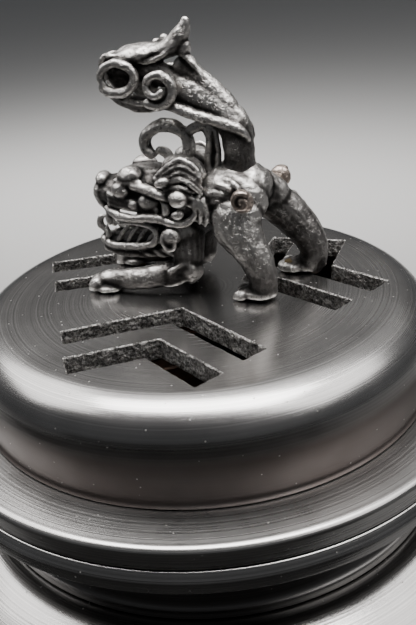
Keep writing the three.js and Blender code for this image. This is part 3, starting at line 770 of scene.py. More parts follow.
def lion_head_clay():
    """Skull, muzzle, upper lip and mane."""
    clay = Clay()
    m = MIDLINE
    clay.ball((-7.8, m, 17.5), (6.4, 5.0, 3.9))
    clay.bar([(-5.0, m, 16.9, 3.5, 5.2), (-10.0, m, 16.8, 3.2, 4.9),
              (-14.0, m, 16.6, 2.7, 3.6)], sides=20)
    clay.bar([(-4.0, m, 15.0, 2.2, 5.4), (-9.0, m, 14.9, 1.9, 4.9), (-13.2, m, 14.9, 1.5, 3.5)], sides=20)
    clay.ball((-1.6, m, 17.2), (3.6, 5.4, 4.8))
    clay.ball((-3.0, m, 13.4), (3.0, 4.6, 2.6))
    # Nose: a knob over a long drop that runs down to the lip.
    clay.ball((-15.2, m - 1.0, 18.9), (1.2, 1.9, 1.3))
    clay.bar([(-15.7, m - 1.2, 17.6, 1.1, 1.7), (-15.8, m - 1.2, 16.4, 1.25, 1.9),
              (-15.4, m - 1.2, 14.8, 1.0, 1.6), (-14.8, m - 1.2, 13.2, 0.6, 1.2)], sides=18)
    clay.bar([(-13.6, m, 18.4, 1.0, 2.2), (-10.6, m, 19.2, 0.9, 1.6), (-7.4, m, 19.8, 0.8, 1.2)])

    def half_face(side):
        def y(value):
            return mirrored(value, side)
        clay.ball((-10.9, y(-1.3), 18.1), (1.5, 1.1, 1.4))
        clay.ball((-9.6, y(0.2), 20.1), (2.15, 2.0, 1.75))
        clay.bar([(-11.8, y(-0.6), 19.6, 0.4), (-10.0, y(-1.5), 19.3, 0.45), (-7.6, y(-1.3), 19.6, 0.4)])
        clay.bar([(-8.8, y(-1.4), 18.9, 0.7), (-6.4, y(-1.9), 18.5, 0.9), (-4.0, y(-2.3), 17.6, 0.85),
                  (-2.6, y(-2.5), 17.2, 0.6)])
        clay.ball((-3.4, y(-2.4), 19.9), (1.6, 0.9, 0.85), turn=-15)
        clay.ball((-6.4, y(-1.6), 16.2), (1.7, 1.1, 1.5))
        clay.ball((-8.8, y(-1.5), 15.6), (1.1, 0.8, 0.9))
        clay.bar([(-4.0, y(-2.0), 17.2, 0.5), (-3.4, y(-2.4), 15.4, 0.75), (-3.9, y(-2.3), 14.0, 0.4)])
        # Moustache locks that sweep back over the cheek.
        for k in range(3):
            clay.bar([(-13.4, y(-0.1), 15.3 + 0.8 * k, 0.5), (-10.4, y(-1.1), 15.0 + 0.7 * k, 0.6),
                      (-7.6, y(-1.6), 14.9 + 0.4 * k, 0.5), (-5.2, y(-2.0), 14.8 + 0.2 * k, 0.4)])
        # Upper lip, whose ridge runs back into the curl at the corner of the mouth.
        clay.bar([(-14.2, y(0.4), 14.1, 0.7), (-12.6, y(-0.9), 13.6, 0.8), (-9.8, y(-1.7), 13.2, 0.8),
                  (-6.8, y(-2.2), 13.6, 0.75), (-4.6, y(-2.5), 13.5, 0.75), (-2.6, y(-2.7), 12.9, 0.66),
                  (-0.6, y(-2.7), 12.8, 0.64), (1.0, y(-2.4), 13.7, 0.58), (1.8, y(-2.2), 15.2, 0.52),
                  (1.2, y(-2.2), 17.0, 0.4)], steps=7)
        clay.ball((-0.9, y(-2.7), 17.3), (1.75, 1.5, 1.6))
        clay.ball((-1.2, y(-3.0), 14.6), (1.1, 0.8, 0.8))
        clay.bar([(-13.9, y(-0.2), 13.2, 0.7), (-14.0, y(-0.2), 12.0, 0.5), (-14.0, y(0.0), 11.2, 0.15)])
        # Hood of ridged mane over the ear.
        clay.ball((-0.6, y(0.6), 21.2), (3.9, 2.6, 2.5), turn=16)
        for k in range(4):
            drop = 0.95 * k
            clay.bar([(-4.6 + 0.3 * k, y(-1.5 - 0.2 * k), 20.9 - 0.5 * drop, 0.4),
                      (-2.6, y(-1.5 - 0.3 * k), 22.5 - drop, 0.5),
                      (-0.2, y(-1.4 - 0.35 * k), 23.5 - drop, 0.55),
                      (1.8, y(-1.4 - 0.35 * k), 22.4 - drop, 0.5),
                      (3.0, y(-1.4 - 0.2 * k), 20.8 - drop, 0.35)], steps=6)
        # Wavy mane locks from the brow back over the neck.
        for k in range(3):
            lift = 1.15 * k
            clay.bar([(-3.0, y(-2.5), 18.8 - 0.7 * lift, 0.45), (-0.4, y(-2.7), 19.2 - 1.0 * lift, 0.5),
                      (1.6, y(-2.0), 18.4 - 1.1 * lift, 0.45), (2.6, y(-1.0), 18.8 - 1.2 * lift, 0.3)])

    clay.both_sides(half_face)
    # The muzzle runs further forward than its locks were laid out.
    clay.lengthen(-4.0, 0.12)
    # Crown of the mane.
    for k in range(5):
        y = m + 1.7 * (k - 2)
        clay.bar([(-5.6, y, 19.6, 0.7), (-3.2, y, 21.4 - 0.25 * abs(k - 2), 0.85), (-0.6, y, 22.0, 0.9),
                  (1.8, y, 20.2, 0.7)])
    return clay


def lion_jaw_clay():
    """Lower jaw with its teeth and the curls of the beard."""
    clay = Clay()
    m = MIDLINE
    clay.bar([(-3.4, m, 9.4, 1.9, 5.0), (-8.0, m, 7.6, 1.1, 4.8), (-12.4, m, 7.1, 1.0, 4.2),
              (-15.0, m, 7.2, 0.95, 2.8)], sides=18)
    clay.ball((-15.8, m - 1.0, 8.0), (1.1, 2.2, 1.0))
    clay.bar([(-4.8, m, 10.0, 0.8, 2.8), (-9.0, m, 9.9, 0.7, 2.4), (-12.6, m, 10.1, 0.55, 1.8),
              (-14.2, m, 10.9, 0.4, 1.1)], sides=16)

    def half_jaw(side):
        def y(value):
            return mirrored(value, side)
        clay.bar([(-15.8, y(1.2), 7.8, 0.6), (-14.0, y(-0.4), 7.7, 0.65), (-11.6, y(-1.4), 7.9, 0.7),
                  (-8.2, y(-1.9), 8.2, 0.7), (-6.2, y(-2.1), 9.0, 0.62), (-5.6, y(-2.1), 10.6, 0.52),
                  (-6.6, y(-1.9), 11.8, 0.45), (-9.4, y(-1.3), 12.1, 0.4),
                  (-12.4, y(-0.6), 11.8, 0.35)], steps=7)
        clay.bar([(-15.2, y(0.8), 6.6, 0.75), (-11.6, y(-0.7), 6.5, 0.8), (-7.6, y(-1.1), 6.7, 0.8),
                  (-4.8, y(-1.3), 7.4, 0.65)])
        for k in range(4):
            x = -13.0 + 1.75 * k
            clay.bar([(x, y(0.7 - 0.3 * k), 8.2, 0.5), (x + 0.9, y(0.6 - 0.3 * k), 9.8, 0.42),
                      (x + 1.8, y(0.8 - 0.3 * k), 11.0, 0.3)])
        clay.bar([(-14.8, y(0.6), 9.0, 0.5), (-14.9, y(0.6), 10.4, 0.4), (-14.7, y(0.7), 11.4, 0.12)])
        clay.bar([(-15.6, y(1.8), 9.4, 0.6), (-16.5, y(1.6), 10.7, 0.6), (-16.2, y(1.6), 12.0, 0.5),
                  (-15.4, y(1.6), 12.3, 0.3)])
        # Curl of beard at the hinge of the jaw.
        clay.ball((-2.8, y(-2.5), 10.6), (1.8, 1.4, 1.6))
        clay.scroll((-2.9, y(-2.8), 9.6), (1.5, 1.9), 100, 0.85, 0.75, rise=0.4, side=side, knob=False)
        for k in range(3):
            clay.bar([(-8.6 + 2.0 * k, y(-1.6), 7.6, 0.5), (-7.2 + 2.0 * k, y(-1.7), 6.7, 0.45),
                      (-5.6 + 2.0 * k, y(-1.5), 6.5, 0.25)])

    clay.both_sides(half_jaw)
    clay.lengthen(-4.0, 0.12)
    return clay


def mane_lock_clay():
    """The open curl over the neck and the post behind it."""
    clay = Clay()
    m = MIDLINE
    for groove, lift in ((-0.55, 0.0), (0.55, 0.0), (0.0, 0.5)):
        clay.bar([(-1.4, m + 1.2 * groove, 21.6, 1.0), (-0.4, m + groove, 24.0, 0.95),
                  (-1.0, m + groove, 26.4 + 0.3 * lift, 0.9), (-3.0, m + groove, 27.7 + lift, 0.9),
                  (-5.6, m + groove, 27.6 + lift, 0.9), (-7.9 - 0.5 * lift, m + groove, 26.2, 0.9),
                  (-8.3 - 0.5 * lift, m + groove, 24.4, 0.85), (-7.4, m + groove, 23.1, 0.75),
                  (-6.8, m + groove, 22.9, 0.5)], steps=7)
    clay.bar([(-3.6, m, 21.8, 1.0), (-4.6, m, 23.2, 0.9), (-5.6, m - 0.3, 23.7, 0.8)])
    # The second lock: a post behind, tied to the first by a bar.
    clay.bar([(3.0, m, 20.4, 1.2), (3.3, m, 23.6, 0.95), (3.5, m, 26.4, 1.0), (2.6, m, 27.9, 0.95),
              (0.8, m, 27.5, 0.95), (-0.8, m, 26.6, 0.9)], steps=7)
    clay.bar([(4.4, m - 0.6, 20.8, 0.6), (4.9, m - 0.6, 23.8, 0.55), (4.6, m - 0.4, 26.8, 0.5),
              (3.6, m, 28.2, 0.5)], steps=7)
    return clay


def lion_tail_clay():
    """A plume that rises from the rump and ends in two scrolls and a leaf."""
    clay = Clay()
    m = MIDLINE
    clay.bar([(8.0, m, 20.6, 3.0, 3.0), (8.3, m, 22.4, 2.6, 2.8), (8.2, m, 24.6, 2.6, 2.9),
              (7.9, m, 27.2, 2.7, 2.6), (6.2, m, 29.9, 2.5, 2.6), (3.6, m, 31.9, 2.6, 2.5),
              (0.6, m, 33.3, 2.8, 2.2), (-2.2, m, 34.2, 2.6, 1.6)], sides=24, steps=7)
    clay.bar([(6.6, m, 31.0, 2.0, 2.0), (4.0, m, 33.4, 2.2, 1.7), (1.6, m, 35.6, 2.0, 1.1),
              (-1.2, m, 37.6, 1.5, 0.8)], sides=18)
    # Crest along the back of the plume, and the rims that stand up round its hollow face.
    clay.bar([(10.2, m, 25.6, 0.55, 1.0), (9.8, m, 28.6, 0.6, 1.2), (8.0, m, 31.0, 0.6, 1.3),
              (5.6, m, 33.2, 0.6, 1.2), (3.0, m, 36.2, 0.6, 1.1), (0.7, m, 38.8, 0.6, 1.0),
              (-1.0, m, 40.2, 0.6, 0.9)], steps=7)

    def half_plume(side):
        def y(value):
            return mirrored(value, side)
        clay.bar([(10.3, y(2.2), 26.0, 0.5), (9.2, y(1.5), 27.6, 0.85), (7.2, y(1.3), 28.6, 0.95),
                  (4.8, y(1.2), 29.4, 0.95), (1.8, y(1.3), 30.2, 0.95), (-1.0, y(1.3), 31.2, 0.9),
                  (-3.0, y(1.4), 31.9, 0.85), (-5.4, y(1.6), 33.0, 0.7)], steps=7)
        clay.scroll((-3.8, y(0.8), 34.7), (3.1, 3.0), 235, 1.25, 0.95, rise=0.9, side=side, knob=False)
        clay.ball((-2.9, y(0.6), 33.9), (0.9, 0.8, 0.9))
        clay.scroll((-10.9, y(1.0), 36.4), (3.5, 2.6), 225, 0.96, 0.95, rise=0.2, side=side, knob=False,
                    tighten=0.22)
        # Strands that sweep under the scrolls.
        for k in range(4):
            clay.bar([(-4.6, y(2.0 + 0.35 * k), 32.4 - 0.35 * k, 0.4),
                      (-7.0, y(1.9 + 0.35 * k), 32.0 - 0.45 * k, 0.5),
                      (-10.0, y(2.0 + 0.3 * k), 32.5 - 0.45 * k, 0.5),
                      (-13.0, y(2.2 + 0.25 * k), 33.9 - 0.35 * k, 0.42),
                      (-14.2, y(2.4), 36.0 - 0.3 * k, 0.3)], steps=6)
        clay.bar([(-13.3, y(2.4), 36.2, 0.5), (-14.0, y(2.6), 38.0, 0.55), (-13.2, y(2.4), 39.4, 0.5),
                  (-11.6, y(2.0), 39.6, 0.45), (-9.8, y(1.8), 39.0, 0.4)])

    clay.both_sides(half_plume)
    clay.bar([(-1.0, m, 35.2, 1.6, 1.3), (-4.4, m, 36.4, 2.0, 1.4), (-8.0, m, 37.2, 1.9, 1.3),
              (-11.2, m, 36.8, 1.3, 1.1)], sides=18)
    clay.ball((-7.2, m, 34.6), (2.4, 1.3, 2.0))
    clay.ball((-10.9, m, 36.4), (2.9, 1.0, 2.9))
    clay.ball((-8.4, m - 0.2, 39.3), (4.6, 2.5, 1.5), turn=-7)
    # The flame-shaped leaf on top.
    clay.bar([(-12.4, m + 0.8, 38.9, 0.7, 1.4), (-9.8, m + 0.8, 40.0, 0.9, 2.2),
              (-6.8, m + 0.8, 40.2, 1.0, 2.5), (-3.8, m + 0.6, 39.9, 1.4, 2.3),
              (-1.5, m + 0.2, 40.8, 1.6, 1.9), (-0.2, m, 42.2, 1.4, 1.4), (0.5, m, 43.4, 1.05, 1.1),
              (0.85, m, 44.4, 0.75, 0.75)], sides=20, steps=8)
    clay.bar([(-12.0, m - 1.4, 38.8, 0.4), (-9.0, m - 1.7, 39.0, 0.45), (-5.6, m - 1.8, 38.6, 0.45),
              (-3.0, m - 1.6, 39.4, 0.45), (-1.3, m - 1.2, 41.0, 0.4),
              (-0.2, m - 1.0, 43.0, 0.35)], steps=7)
    clay.ball((-3.6, m + 1.8, 41.6), (0.85, 0.85, 0.8))
    clay.ball((-5.2, m + 2.4, 41.0), (0.9, 0.8, 0.7))
    clay.ball((0.1, m, 40.4), (1.3, 1.2, 1.4))
    return clay


def plume_mask(spots):
    """The hollow face of the plume and the top of the leaf are stippled."""
    face = fade(np.abs(spots[:, 0] - 3.0), 5.5, 7.5) * fade(np.abs(spots[:, 2] - 32.0), 4.0, 5.5)
    leaf = fade(np.abs(spots[:, 0] + 7.5), 4.5, 6.0) * np.clip((spots[:, 2] - 39.6) / 0.8, 0, 1)
    return np.clip(face + leaf, 0, 1)


def boss_clay(node, side):
    """A curled boss on a hip, at the place of its CAD node."""
    clay = Clay()
    low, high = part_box(node)
    x = (low.x + high.x) / 2 / LION_UNIT
    y = (low.y if side < 0 else high.y) / LION_UNIT - side * 1.5
    z = ((low.z + high.z) / 2 - LID_TOP) / LION_UNIT
    clay.ball((x, y - side * 0.4, z), (1.95, 1.2, 1.95))
    clay.scroll((x, y + side * 0.3, z), (1.5, 1.5), 60, 1.1, 0.55, rise=0.4, side=side)
    return clay


# ---------------------------------------------------------------------------
# Turned pieces
# ---------------------------------------------------------------------------

def girth(node):
    """(radius, lowest, highest, centre) of a turned CAD node."""
    low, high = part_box(node)
    return (high.x - low.x) / 2, low.z, high.z, ((low.x + high.x) / 2, (low.y + high.y) / 2)


def mouth_radius():
    """The bore of the mouth, which the bezel drops into."""
    return girth("lid_bezel")[0] + 0.5 * MM


def bowl_outline():
    """Round belly, sloping shoulder and a ledge that the neck stands on."""
    radius, low, high, _ = girth("bowl_body")
    belly = low + 0.561 * (high - low)
    base = 0.677 * radius
    shoulder = mouth_radius() + 8 * MM
    ledge = mouth_radius() - 4 * MM
    wall = 3 * MM
    floor = low + 3.5 * MM
    rise, fall = 0.5 * (belly - low), 0.62 * (high - belly)
    spread, lean = 0.4 * (radius - base), 0.52 * (radius - shoulder)
    drop = 0.02 * (high - low)
    points = [(0.0, low), (0.6 * base, low), (base - 1.2 * MM, low), (base - 0.4 * MM, low + 0.1 * MM)]
    points += sweep((base, low + 0.5 * MM), (base + spread, low + 1.2 * MM), (radius, belly - rise),
                    (radius, belly), 40)
    points += sweep((radius, belly), (radius, belly + 0.92 * fall), (shoulder + 0.68 * lean, high - 3.2 * MM),
                    (shoulder - 0.6 * MM, high - 0.25 * MM), 48)
    points += [(shoulder - 1.6 * MM, high - 0.05 * MM), (shoulder - 2.6 * MM, high)]
    points += [(ledge + 0.3 * MM, high), (ledge, high - 0.3 * MM), (ledge, high - wall)]
    points += [(shoulder, high - wall)]
    points += sweep((shoulder, high - wall), (shoulder + lean, high - wall - drop),
                    (radius - wall, belly + fall), (radius - wall, belly), 30)
    points += sweep((radius - wall, belly), (radius - wall, belly - rise + 3.5 * MM),
                    (base - wall + spread, floor), (base - wall, floor), 30)
    points.append((0.0, floor))
    return points


def neck_outline():
    """Waisted ring with a bead at its foot."""
    radius, low, high, _ = girth("neck_ring")
    bore = mouth_radius()
    foot, waist = bore + 4.3 * MM, bore + 2.7 * MM
    bead = 1.2 * MM
    middle = (low + high) / 2
    points = [(bore, low), (foot - 0.2 * MM, low), (foot, low + 0.2 * MM), (foot, low + bead)]
    points += sweep((foot, low + bead), (foot - 1.2 * MM, low + bead + 0.3 * MM), (waist, middle - 2 * MM),
                    (waist, middle), 14)
    points += sweep((waist, middle), (waist, middle + 2 * MM), (radius - 1.6 * MM, high - bead - 0.6 * MM),
                    (radius, high - 0.4 * MM), 14)
    points += [(radius - 0.2 * MM, high), (bore, high)]
    return points


def rim_outline():
    """Plain ring with an eased edge, which the lid rests on."""
    radius, low, high, _ = girth("rim_ring")
    bore = mouth_radius()
    top = radius - 1.1 * MM
    return rounded([
        (bore, low, 0.15 * MM),
        (radius, low, 0.4 * MM),
        (radius - 0.15 * MM, low + 1.6 * MM, 0.3 * MM),
        (top, high, 0.25 * MM),
        (bore, high, 0.3 * MM),
    ])


def flange_outline():
    """Flat ring with a rounded edge, under the dome."""
    radius, low, high, _ = girth("lid_flange")
    bore = girth("lid_bezel")[0] - BEZEL_WALL
    foot = girth("lid_dome")[0] - 0.9 * MM
    points = [(bore, low), (radius - 0.5 * MM, low), (radius - 0.2 * MM, low + 0.2 * MM)]
    points += arc((radius - 1.1 * MM, high - 1.1 * MM), 1.1 * MM, 0, 90, 10)
    points += [(foot + 3.0 * MM, high), (foot + 0.8 * MM, high), (bore, high)]
    return points


def bezel_outline():
    """The ring that drops into the mouth."""
    radius, low, high, _ = girth("lid_bezel")
    bore = radius - BEZEL_WALL
    return rounded([
        (bore, low, 0.3 * MM),
        (radius, low, 0.7 * MM),
        (radius, high, 0.1 * MM),
        (bore, high, 0.1 * MM),
    ])


def liner_outline():
    """Straight-sided cup with a lip."""
    lip, low, high, _ = girth("liner_cup")
    wall, corner = 1.2 * MM, 3 * MM
    top = lip - 4 * MM
    base = top - 4.4 * MM
    under_lip = high - wall
    points = [(0.0, low), (base - corner, low)]
    points += sweep((base - corner, low), (base - 1.2 * MM, low), (base, low + 1.2 * MM),
                    (base, low + corner), 8)
    points += [(top, under_lip), (lip - 0.2 * MM, under_lip), (lip, under_lip + 0.3 * MM),
               (lip, high - 0.3 * MM), (lip - 0.3 * MM, high), (top - wall + 0.4 * MM, high),
               (top - wall, high - 0.4 * MM), (base - wall, low + corner)]
    points += sweep((base - wall, low + corner), (base - wall, low + 2 * MM), (base - 2 * MM, low + wall),
                    (base - corner, low + wall), 8)
    points.append((0.0, low + wall))
    return points


def foot_outline(node):
    """Bun foot with a waist."""
    radius, low, high, _ = girth(node)
    pad, waist = 0.852 * radius, 0.614 * radius
    middle = (low + high) / 2
    points = [(0.0, low), (pad - 0.6 * MM, low), (pad - 0.1 * MM, low + 0.3 * MM)]
    points += sweep((pad, low + 0.8 * MM), (pad + 0.5 * MM, low + 2.4 * MM), (waist, middle - 3 * MM),
                    (waist, middle), 14)
    points += sweep((waist, middle), (waist, middle + 3 * MM), (radius - 1.2 * MM, high - 1.6 * MM),
                    (radius, high - 0.4 * MM), 14)
    points += [(radius - 0.3 * MM, high), (0.0, high)]
    return points


def dome_outline():
    """Short flared side, a quarter-round turn and a flat top."""
    radius, low, high, _ = girth("lid_dome")
    foot = radius - 0.9 * MM
    wall, turn = DOME_WALL, DOME_TURN
    spring = high - turn
    flat = radius - turn
    points = [(foot - wall, low), (foot + 0.6 * MM, low), (foot + 0.62 * MM, low + 0.08 * MM)]
    points += sweep((foot + 0.6 * MM, low + 0.1 * MM), (foot + 0.1 * MM, low + 0.5 * MM),
                    (foot + 0.1 * MM, low + 0.7 * MM), (foot + 0.2 * MM, low + 1.3 * MM), 6)
    points += sweep((foot + 0.2 * MM, low + 1.3 * MM), (foot + 0.5 * MM, low + 4 * MM),
                    (radius, low + 6 * MM), (radius, spring), 12)
    points += arc((flat, spring), turn, 0, 90, 22)[1:]
    points += [(flat * k / 12, high) for k in range(11, -1, -1)]
    points += [(0.0, high - wall), (0.5 * flat, high - wall), (flat, high - wall)]
    points += arc((flat, spring), turn - wall, 90, 0, 12)[1:]
    return points


def arm_length(apex, width, margin, angle, flat):
    """How far an arm runs before its outer corner comes within the margin of the flat's edge."""
    along = apex * math.cos(angle)
    outer_point = apex + width * math.sin(angle)
    sideways = width * math.cos(angle)
    reach = flat - margin
    return math.sqrt(reach ** 2 + along ** 2 - outer_point ** 2 - sideways ** 2) - along


def chevron_corners(apex, width, margin, angle, flat):
    """The six corners of a V-shaped vent that opens along +X, anticlockwise."""
    along = Vector((math.cos(angle), math.sin(angle)))
    outward = Vector((math.sin(angle), -math.cos(angle)))
    tip = Vector((apex, 0))
    inner_end = tip + along * arm_length(apex, width, margin, angle, flat)
    outer_end = inner_end + outward * width
    crotch = Vector((apex + width / math.sin(angle), 0))
    mirror = Matrix(((1, 0), (0, -1)))
    return [tip, mirror @ inner_end, mirror @ outer_end, crotch, outer_end, inner_end]


def ragged_cutter(corners, direction, low, high, raggedness, pitch=0.4 * MM):
    """A prism with a broken, granular wall, to cut one vent."""
    turn = Matrix.Rotation(direction, 2)
    loop = []
    for i, corner in enumerate(corners):
        ahead = corners[(i + 1) % len(corners)]
        count = max(1, round((ahead - corner).length / pitch))
        loop += [corner.lerp(ahead, k / count) for k in range(count)]
    loop = [turn @ spot for spot in loop]
    count = len(loop)
    normals = []
    for i in range(count):
        ahead = loop[(i + 1) % count] - loop[i - 1]
        normals.append(Vector((ahead.y, -ahead.x)).normalized())
    chamfer = 0.2 * MM
    mouth = high - 1 * MM  # the lid's top
    plain = max(2, round((mouth - chamfer - low) / pitch))
    heights = [(low + (mouth - chamfer - low) * level / plain, 0.0) for level in range(plain + 1)]
    heights += [(mouth, chamfer), (mouth + chamfer, 2 * chamfer)]
    levels = len(heights) - 1
    spots, faces = [], []
    for z, flare in heights:
        for spot, normal in zip(loop, normals):
            place = Vector((spot.x, spot.y, z))
            rough = noise.noise(place * 2600) * 0.65 + noise.noise(place * 900) * 0.6
            if flare:
                rough *= 0.4
            spots.append(place + Vector((*normal, 0)) * (raggedness * rough + flare))
    for level in range(levels):
        for k in range(count):
            n = (k + 1) % count
            a, b = level * count, (level + 1) * count
            faces.append((a + k, a + n, b + n, b + k))
    faces.append(tuple(reversed(range(count))))
    faces.append(tuple(range(levels * count, (levels + 1) * count)))
    mesh = bpy.data.meshes.new("cutter")
    mesh.from_pydata(spots, [], faces)
    return mesh


def mark_dome(mesh):
    """Stores the distance outward and down for the turning lines, and where a dark reflection is painted low
    on the dome's side.
    """
    spots = read_spots(mesh)
    along = np.hypot(spots[:, 0], spots[:, 1]) - spots[:, 2] + 0.2
    mesh.attributes.remove(mesh.attributes["outline"])
    store(mesh, "outline", along)
    springing = girth("lid_dome")[2] - DOME_TURN
    # Painted reflection: full up to just below the spring of the turn, gone a little above it.
    painted_reflection = np.clip((springing + 2.6 * MM - spots[:, 2]) / (3.4 * MM), 0, 1)
    store(mesh, "painted_reflection", painted_reflection)


def pierced_dome(sizes, sides, metal, broken):
    """The dome with three pairs of V-shaped vents."""
    radius, _, high, _ = girth("lid_dome")
    flat = radius - DOME_TURN
    base = revolve("dome", dome_outline(), sides)
    base.materials.append(metal)
    dome = working_object("dome", base)
    cutters = []
    for degrees in (270, 30, 150):  # where each pair of vents opens
        for apex, width, margin in (
            (sizes.inner_apex, sizes.inner_width, sizes.inner_margin),
            (sizes.outer_apex, sizes.outer_width, sizes.outer_margin),
        ):
            corners = chevron_corners(apex, width, margin, sizes.half_angle, flat)
            mesh = ragged_cutter(corners, math.radians(degrees), high - 6 * MM, high + 1 * MM,
                                 sizes.raggedness)
            mesh.materials.append(broken)
            cutter = working_object("cutter", mesh)
            cut = dome.modifiers.new("cut", "BOOLEAN")
            cut.operation = "DIFFERENCE"
            cut.solver = "EXACT"
            cut.material_mode = "TRANSFER"
            cut.object = cutter
            cutters.append(cutter)
    mesh = finished(dome, "lid_dome_fine")
    for cutter in cutters:
        old = cutter.data
        bpy.data.objects.remove(cutter)
        bpy.data.meshes.remove(old)
    mark_dome(mesh)
    smooth(mesh, SHARP)
    return mesh


# ---------------------------------------------------------------------------
# Repeated pieces
# ---------------------------------------------------------------------------

def screw_mesh(radius, head_radius, head_height, slot, length):
    """A slotted screw with its head on z = 0."""
    rim = 0.72 * head_height
    outline = [(0.0, -length), (0.8 * radius, -length), (radius, -length + 0.3 * radius),
               (radius, 0.0), (head_radius - 0.1 * head_height, 0.0), (head_radius, 0.1 * head_height),
               (head_radius, rim)]
    for k in range(1, 6):
        angle = math.radians(15 * k)
        outline.append((head_radius * (0.78 + 0.22 * math.cos(angle)),
                        rim + (head_height - rim) * math.sin(angle)))
    outline += [(0.6786 * head_radius, head_height), (0.0, head_height)]
    base = revolve("screw", outline, 40)
    screw = working_object("screw", base)
    box = bmesh.new()
    bmesh.ops.create_cube(box, size=1.0)
    bmesh.ops.scale(box, vec=(3 * head_radius, slot, head_height), verts=box.verts)
    bmesh.ops.translate(box, vec=(0, 0, head_height), verts=box.verts)
    blade_mesh = bpy.data.meshes.new("blade")
    box.to_mesh(blade_mesh)
    box.free()
    blade = working_object("blade", blade_mesh)
    cut = screw.modifiers.new("slot", "BOOLEAN")
    cut.operation = "DIFFERENCE"
    cut.solver = "EXACT"
    cut.object = blade
    mesh = finished(screw, "screw")
    bpy.data.objects.remove(blade)
    bpy.data.meshes.remove(blade_mesh)
    mesh.set_sharp_from_angle(angle=math.radians(30))
    return mesh


def washer_mesh(bore, radius, height):
    """A plain washer that stands on z = 0."""
    return revolve("washer", rounded([
        (bore, 0.0, 0.05 * MM),
        (radius, 0.0, 0.1 * MM),
        (radius, height, 0.1 * MM),
        (bore, height, 0.05 * MM),
    ], steps=2), 40)


def spread_tree(material):
    """Geometry nodes: one copy of an object at each point, turned by chance about Z."""
    tree = bpy.data.node_groups.new("spread", "GeometryNodeTree")
    face = tree.interface
    face.new_socket("Geometry", in_out="INPUT", socket_type="NodeSocketGeometry")
    face.new_socket("Piece", in_out="INPUT", socket_type="NodeSocketObject")
    face.new_socket("Seed", in_out="INPUT", socket_type="NodeSocketInt")
    face.new_socket("Geometry", in_out="OUTPUT", socket_type="NodeSocketGeometry")
    add, link = tree.nodes.new, tree.links.new
    start, end = add("NodeGroupInput"), add("NodeGroupOutput")
    info = add("GeometryNodeObjectInfo")
    link(start.outputs["Piece"], info.inputs["Object"])
    chance = add("FunctionNodeRandomValue")
    chance.data_type = "FLOAT_VECTOR"
    chance.inputs[0].default_value = (0, 0, 0)
    chance.inputs[1].default_value = (0, 0, math.pi)
    link(start.outputs["Seed"], chance.inputs["Seed"])
    put = add("GeometryNodeInstanceOnPoints")
    link(start.outputs["Geometry"], put.inputs["Points"])
    link(info.outputs["Geometry"], put.inputs["Instance"])
    link(chance.outputs[0], put.inputs["Rotation"])
    real = add("GeometryNodeRealizeInstances")
    link(put.outputs["Instances"], real.inputs["Geometry"])
    paint = add("GeometryNodeSetMaterial")
    paint.inputs["Material"].default_value = material
    link(real.outputs["Geometry"], paint.inputs["Geometry"])
    link(paint.outputs["Geometry"], end.inputs["Geometry"])
    return tree


def spread(name, places, shape, material, seed):
    """Copies of a mesh at the places, as one plain mesh."""
    shape.materials.clear()
    shape.materials.append(material)
    seed_object = working_object(name + "_seed", shape)
    points = bpy.data.meshes.new(name + "_places")
    points.from_pydata([tuple(p) for p in places], [], [])
    host = working_object(name, points)
    tree = spread_tree(material)
    nodes = host.modifiers.new("spread", "NODES")
    nodes.node_group = tree
    wanted = {"Piece": seed_object, "Seed": seed}
    for item in tree.interface.items_tree:
        if item.in_out == "INPUT" and item.name in wanted:
            nodes[item.identifier] = wanted[item.name]
    mesh = finished(host, name)
    bpy.data.objects.remove(seed_object)
    bpy.data.meshes.remove(shape)
    bpy.data.node_groups.remove(tree)
    return mesh


def seats(names):
    """The middle of each node's underside."""
    places = []
    for name in names:
        _, low, _, (x, y) = girth(name)
        places.append((x, y, low))
    return places


# ---------------------------------------------------------------------------
# Operators
# ---------------------------------------------------------------------------

class BURNER_OT_bowl(bpy.types.Operator):
    """Turn the bowl, its neck, its rim and its feet"""
    bl_idname = "burner.bowl"
    bl_label = "Bowl"

    def execute(self, context):
        sizes = context.scene.burner_turning
        pewter = turned_finish("Turned pewter", sizes.metal, sizes.roughness, sizes.line_pitch, 1.6)
        # A darker copy of the pewter for the neck: painted shade under the rim.
        dark = turned_finish("Shaded pewter", sizes.shaded_neck_metal, sizes.roughness + 0.08,
                             sizes.line_pitch, 1.2, 0.4)
        for name, outline, metal, slot in (
            ("bowl_body", bowl_outline(), pewter, "turned_pewter"),
            ("neck_ring", neck_outline(), dark, "dark_pewter"),
            ("rim_ring", rim_outline(), pewter, "turned_pewter"),
        ):
            mesh = revolve(name + "_fine", outline, sizes.sides)
            mesh.materials.append(metal)
            new_piece(name + "_fine", mesh, "bowl", slot, [name])
        for number in (1, 2, 3):
            node = f"foot_{number}"
            mesh = revolve(node + "_fine", foot_outline(node), 96, centre=girth(node)[3])
            mesh.materials.append(pewter)
            new_piece(node + "_fine", mesh, "bowl", "turned_pewter", [node])
        return {"FINISHED"}


class BURNER_OT_liner(bpy.types.Operator):
    """Spin the copper cup that holds the ash"""
    bl_idname = "burner.liner"
    bl_label = "Liner"

    def execute(self, context):
        sizes = context.scene.burner_turning
        mesh = revolve("liner_cup_fine", liner_outline(), sizes.sides)
        mesh.materials.append(sheet_finish("Copper sheet", (0.30, 0.165, 0.105), (0.05, 0.036, 0.03), 0.36))
        new_piece("liner_cup_fine", mesh, "liner", "copper_sheet", ["liner_cup"])
        return {"FINISHED"}


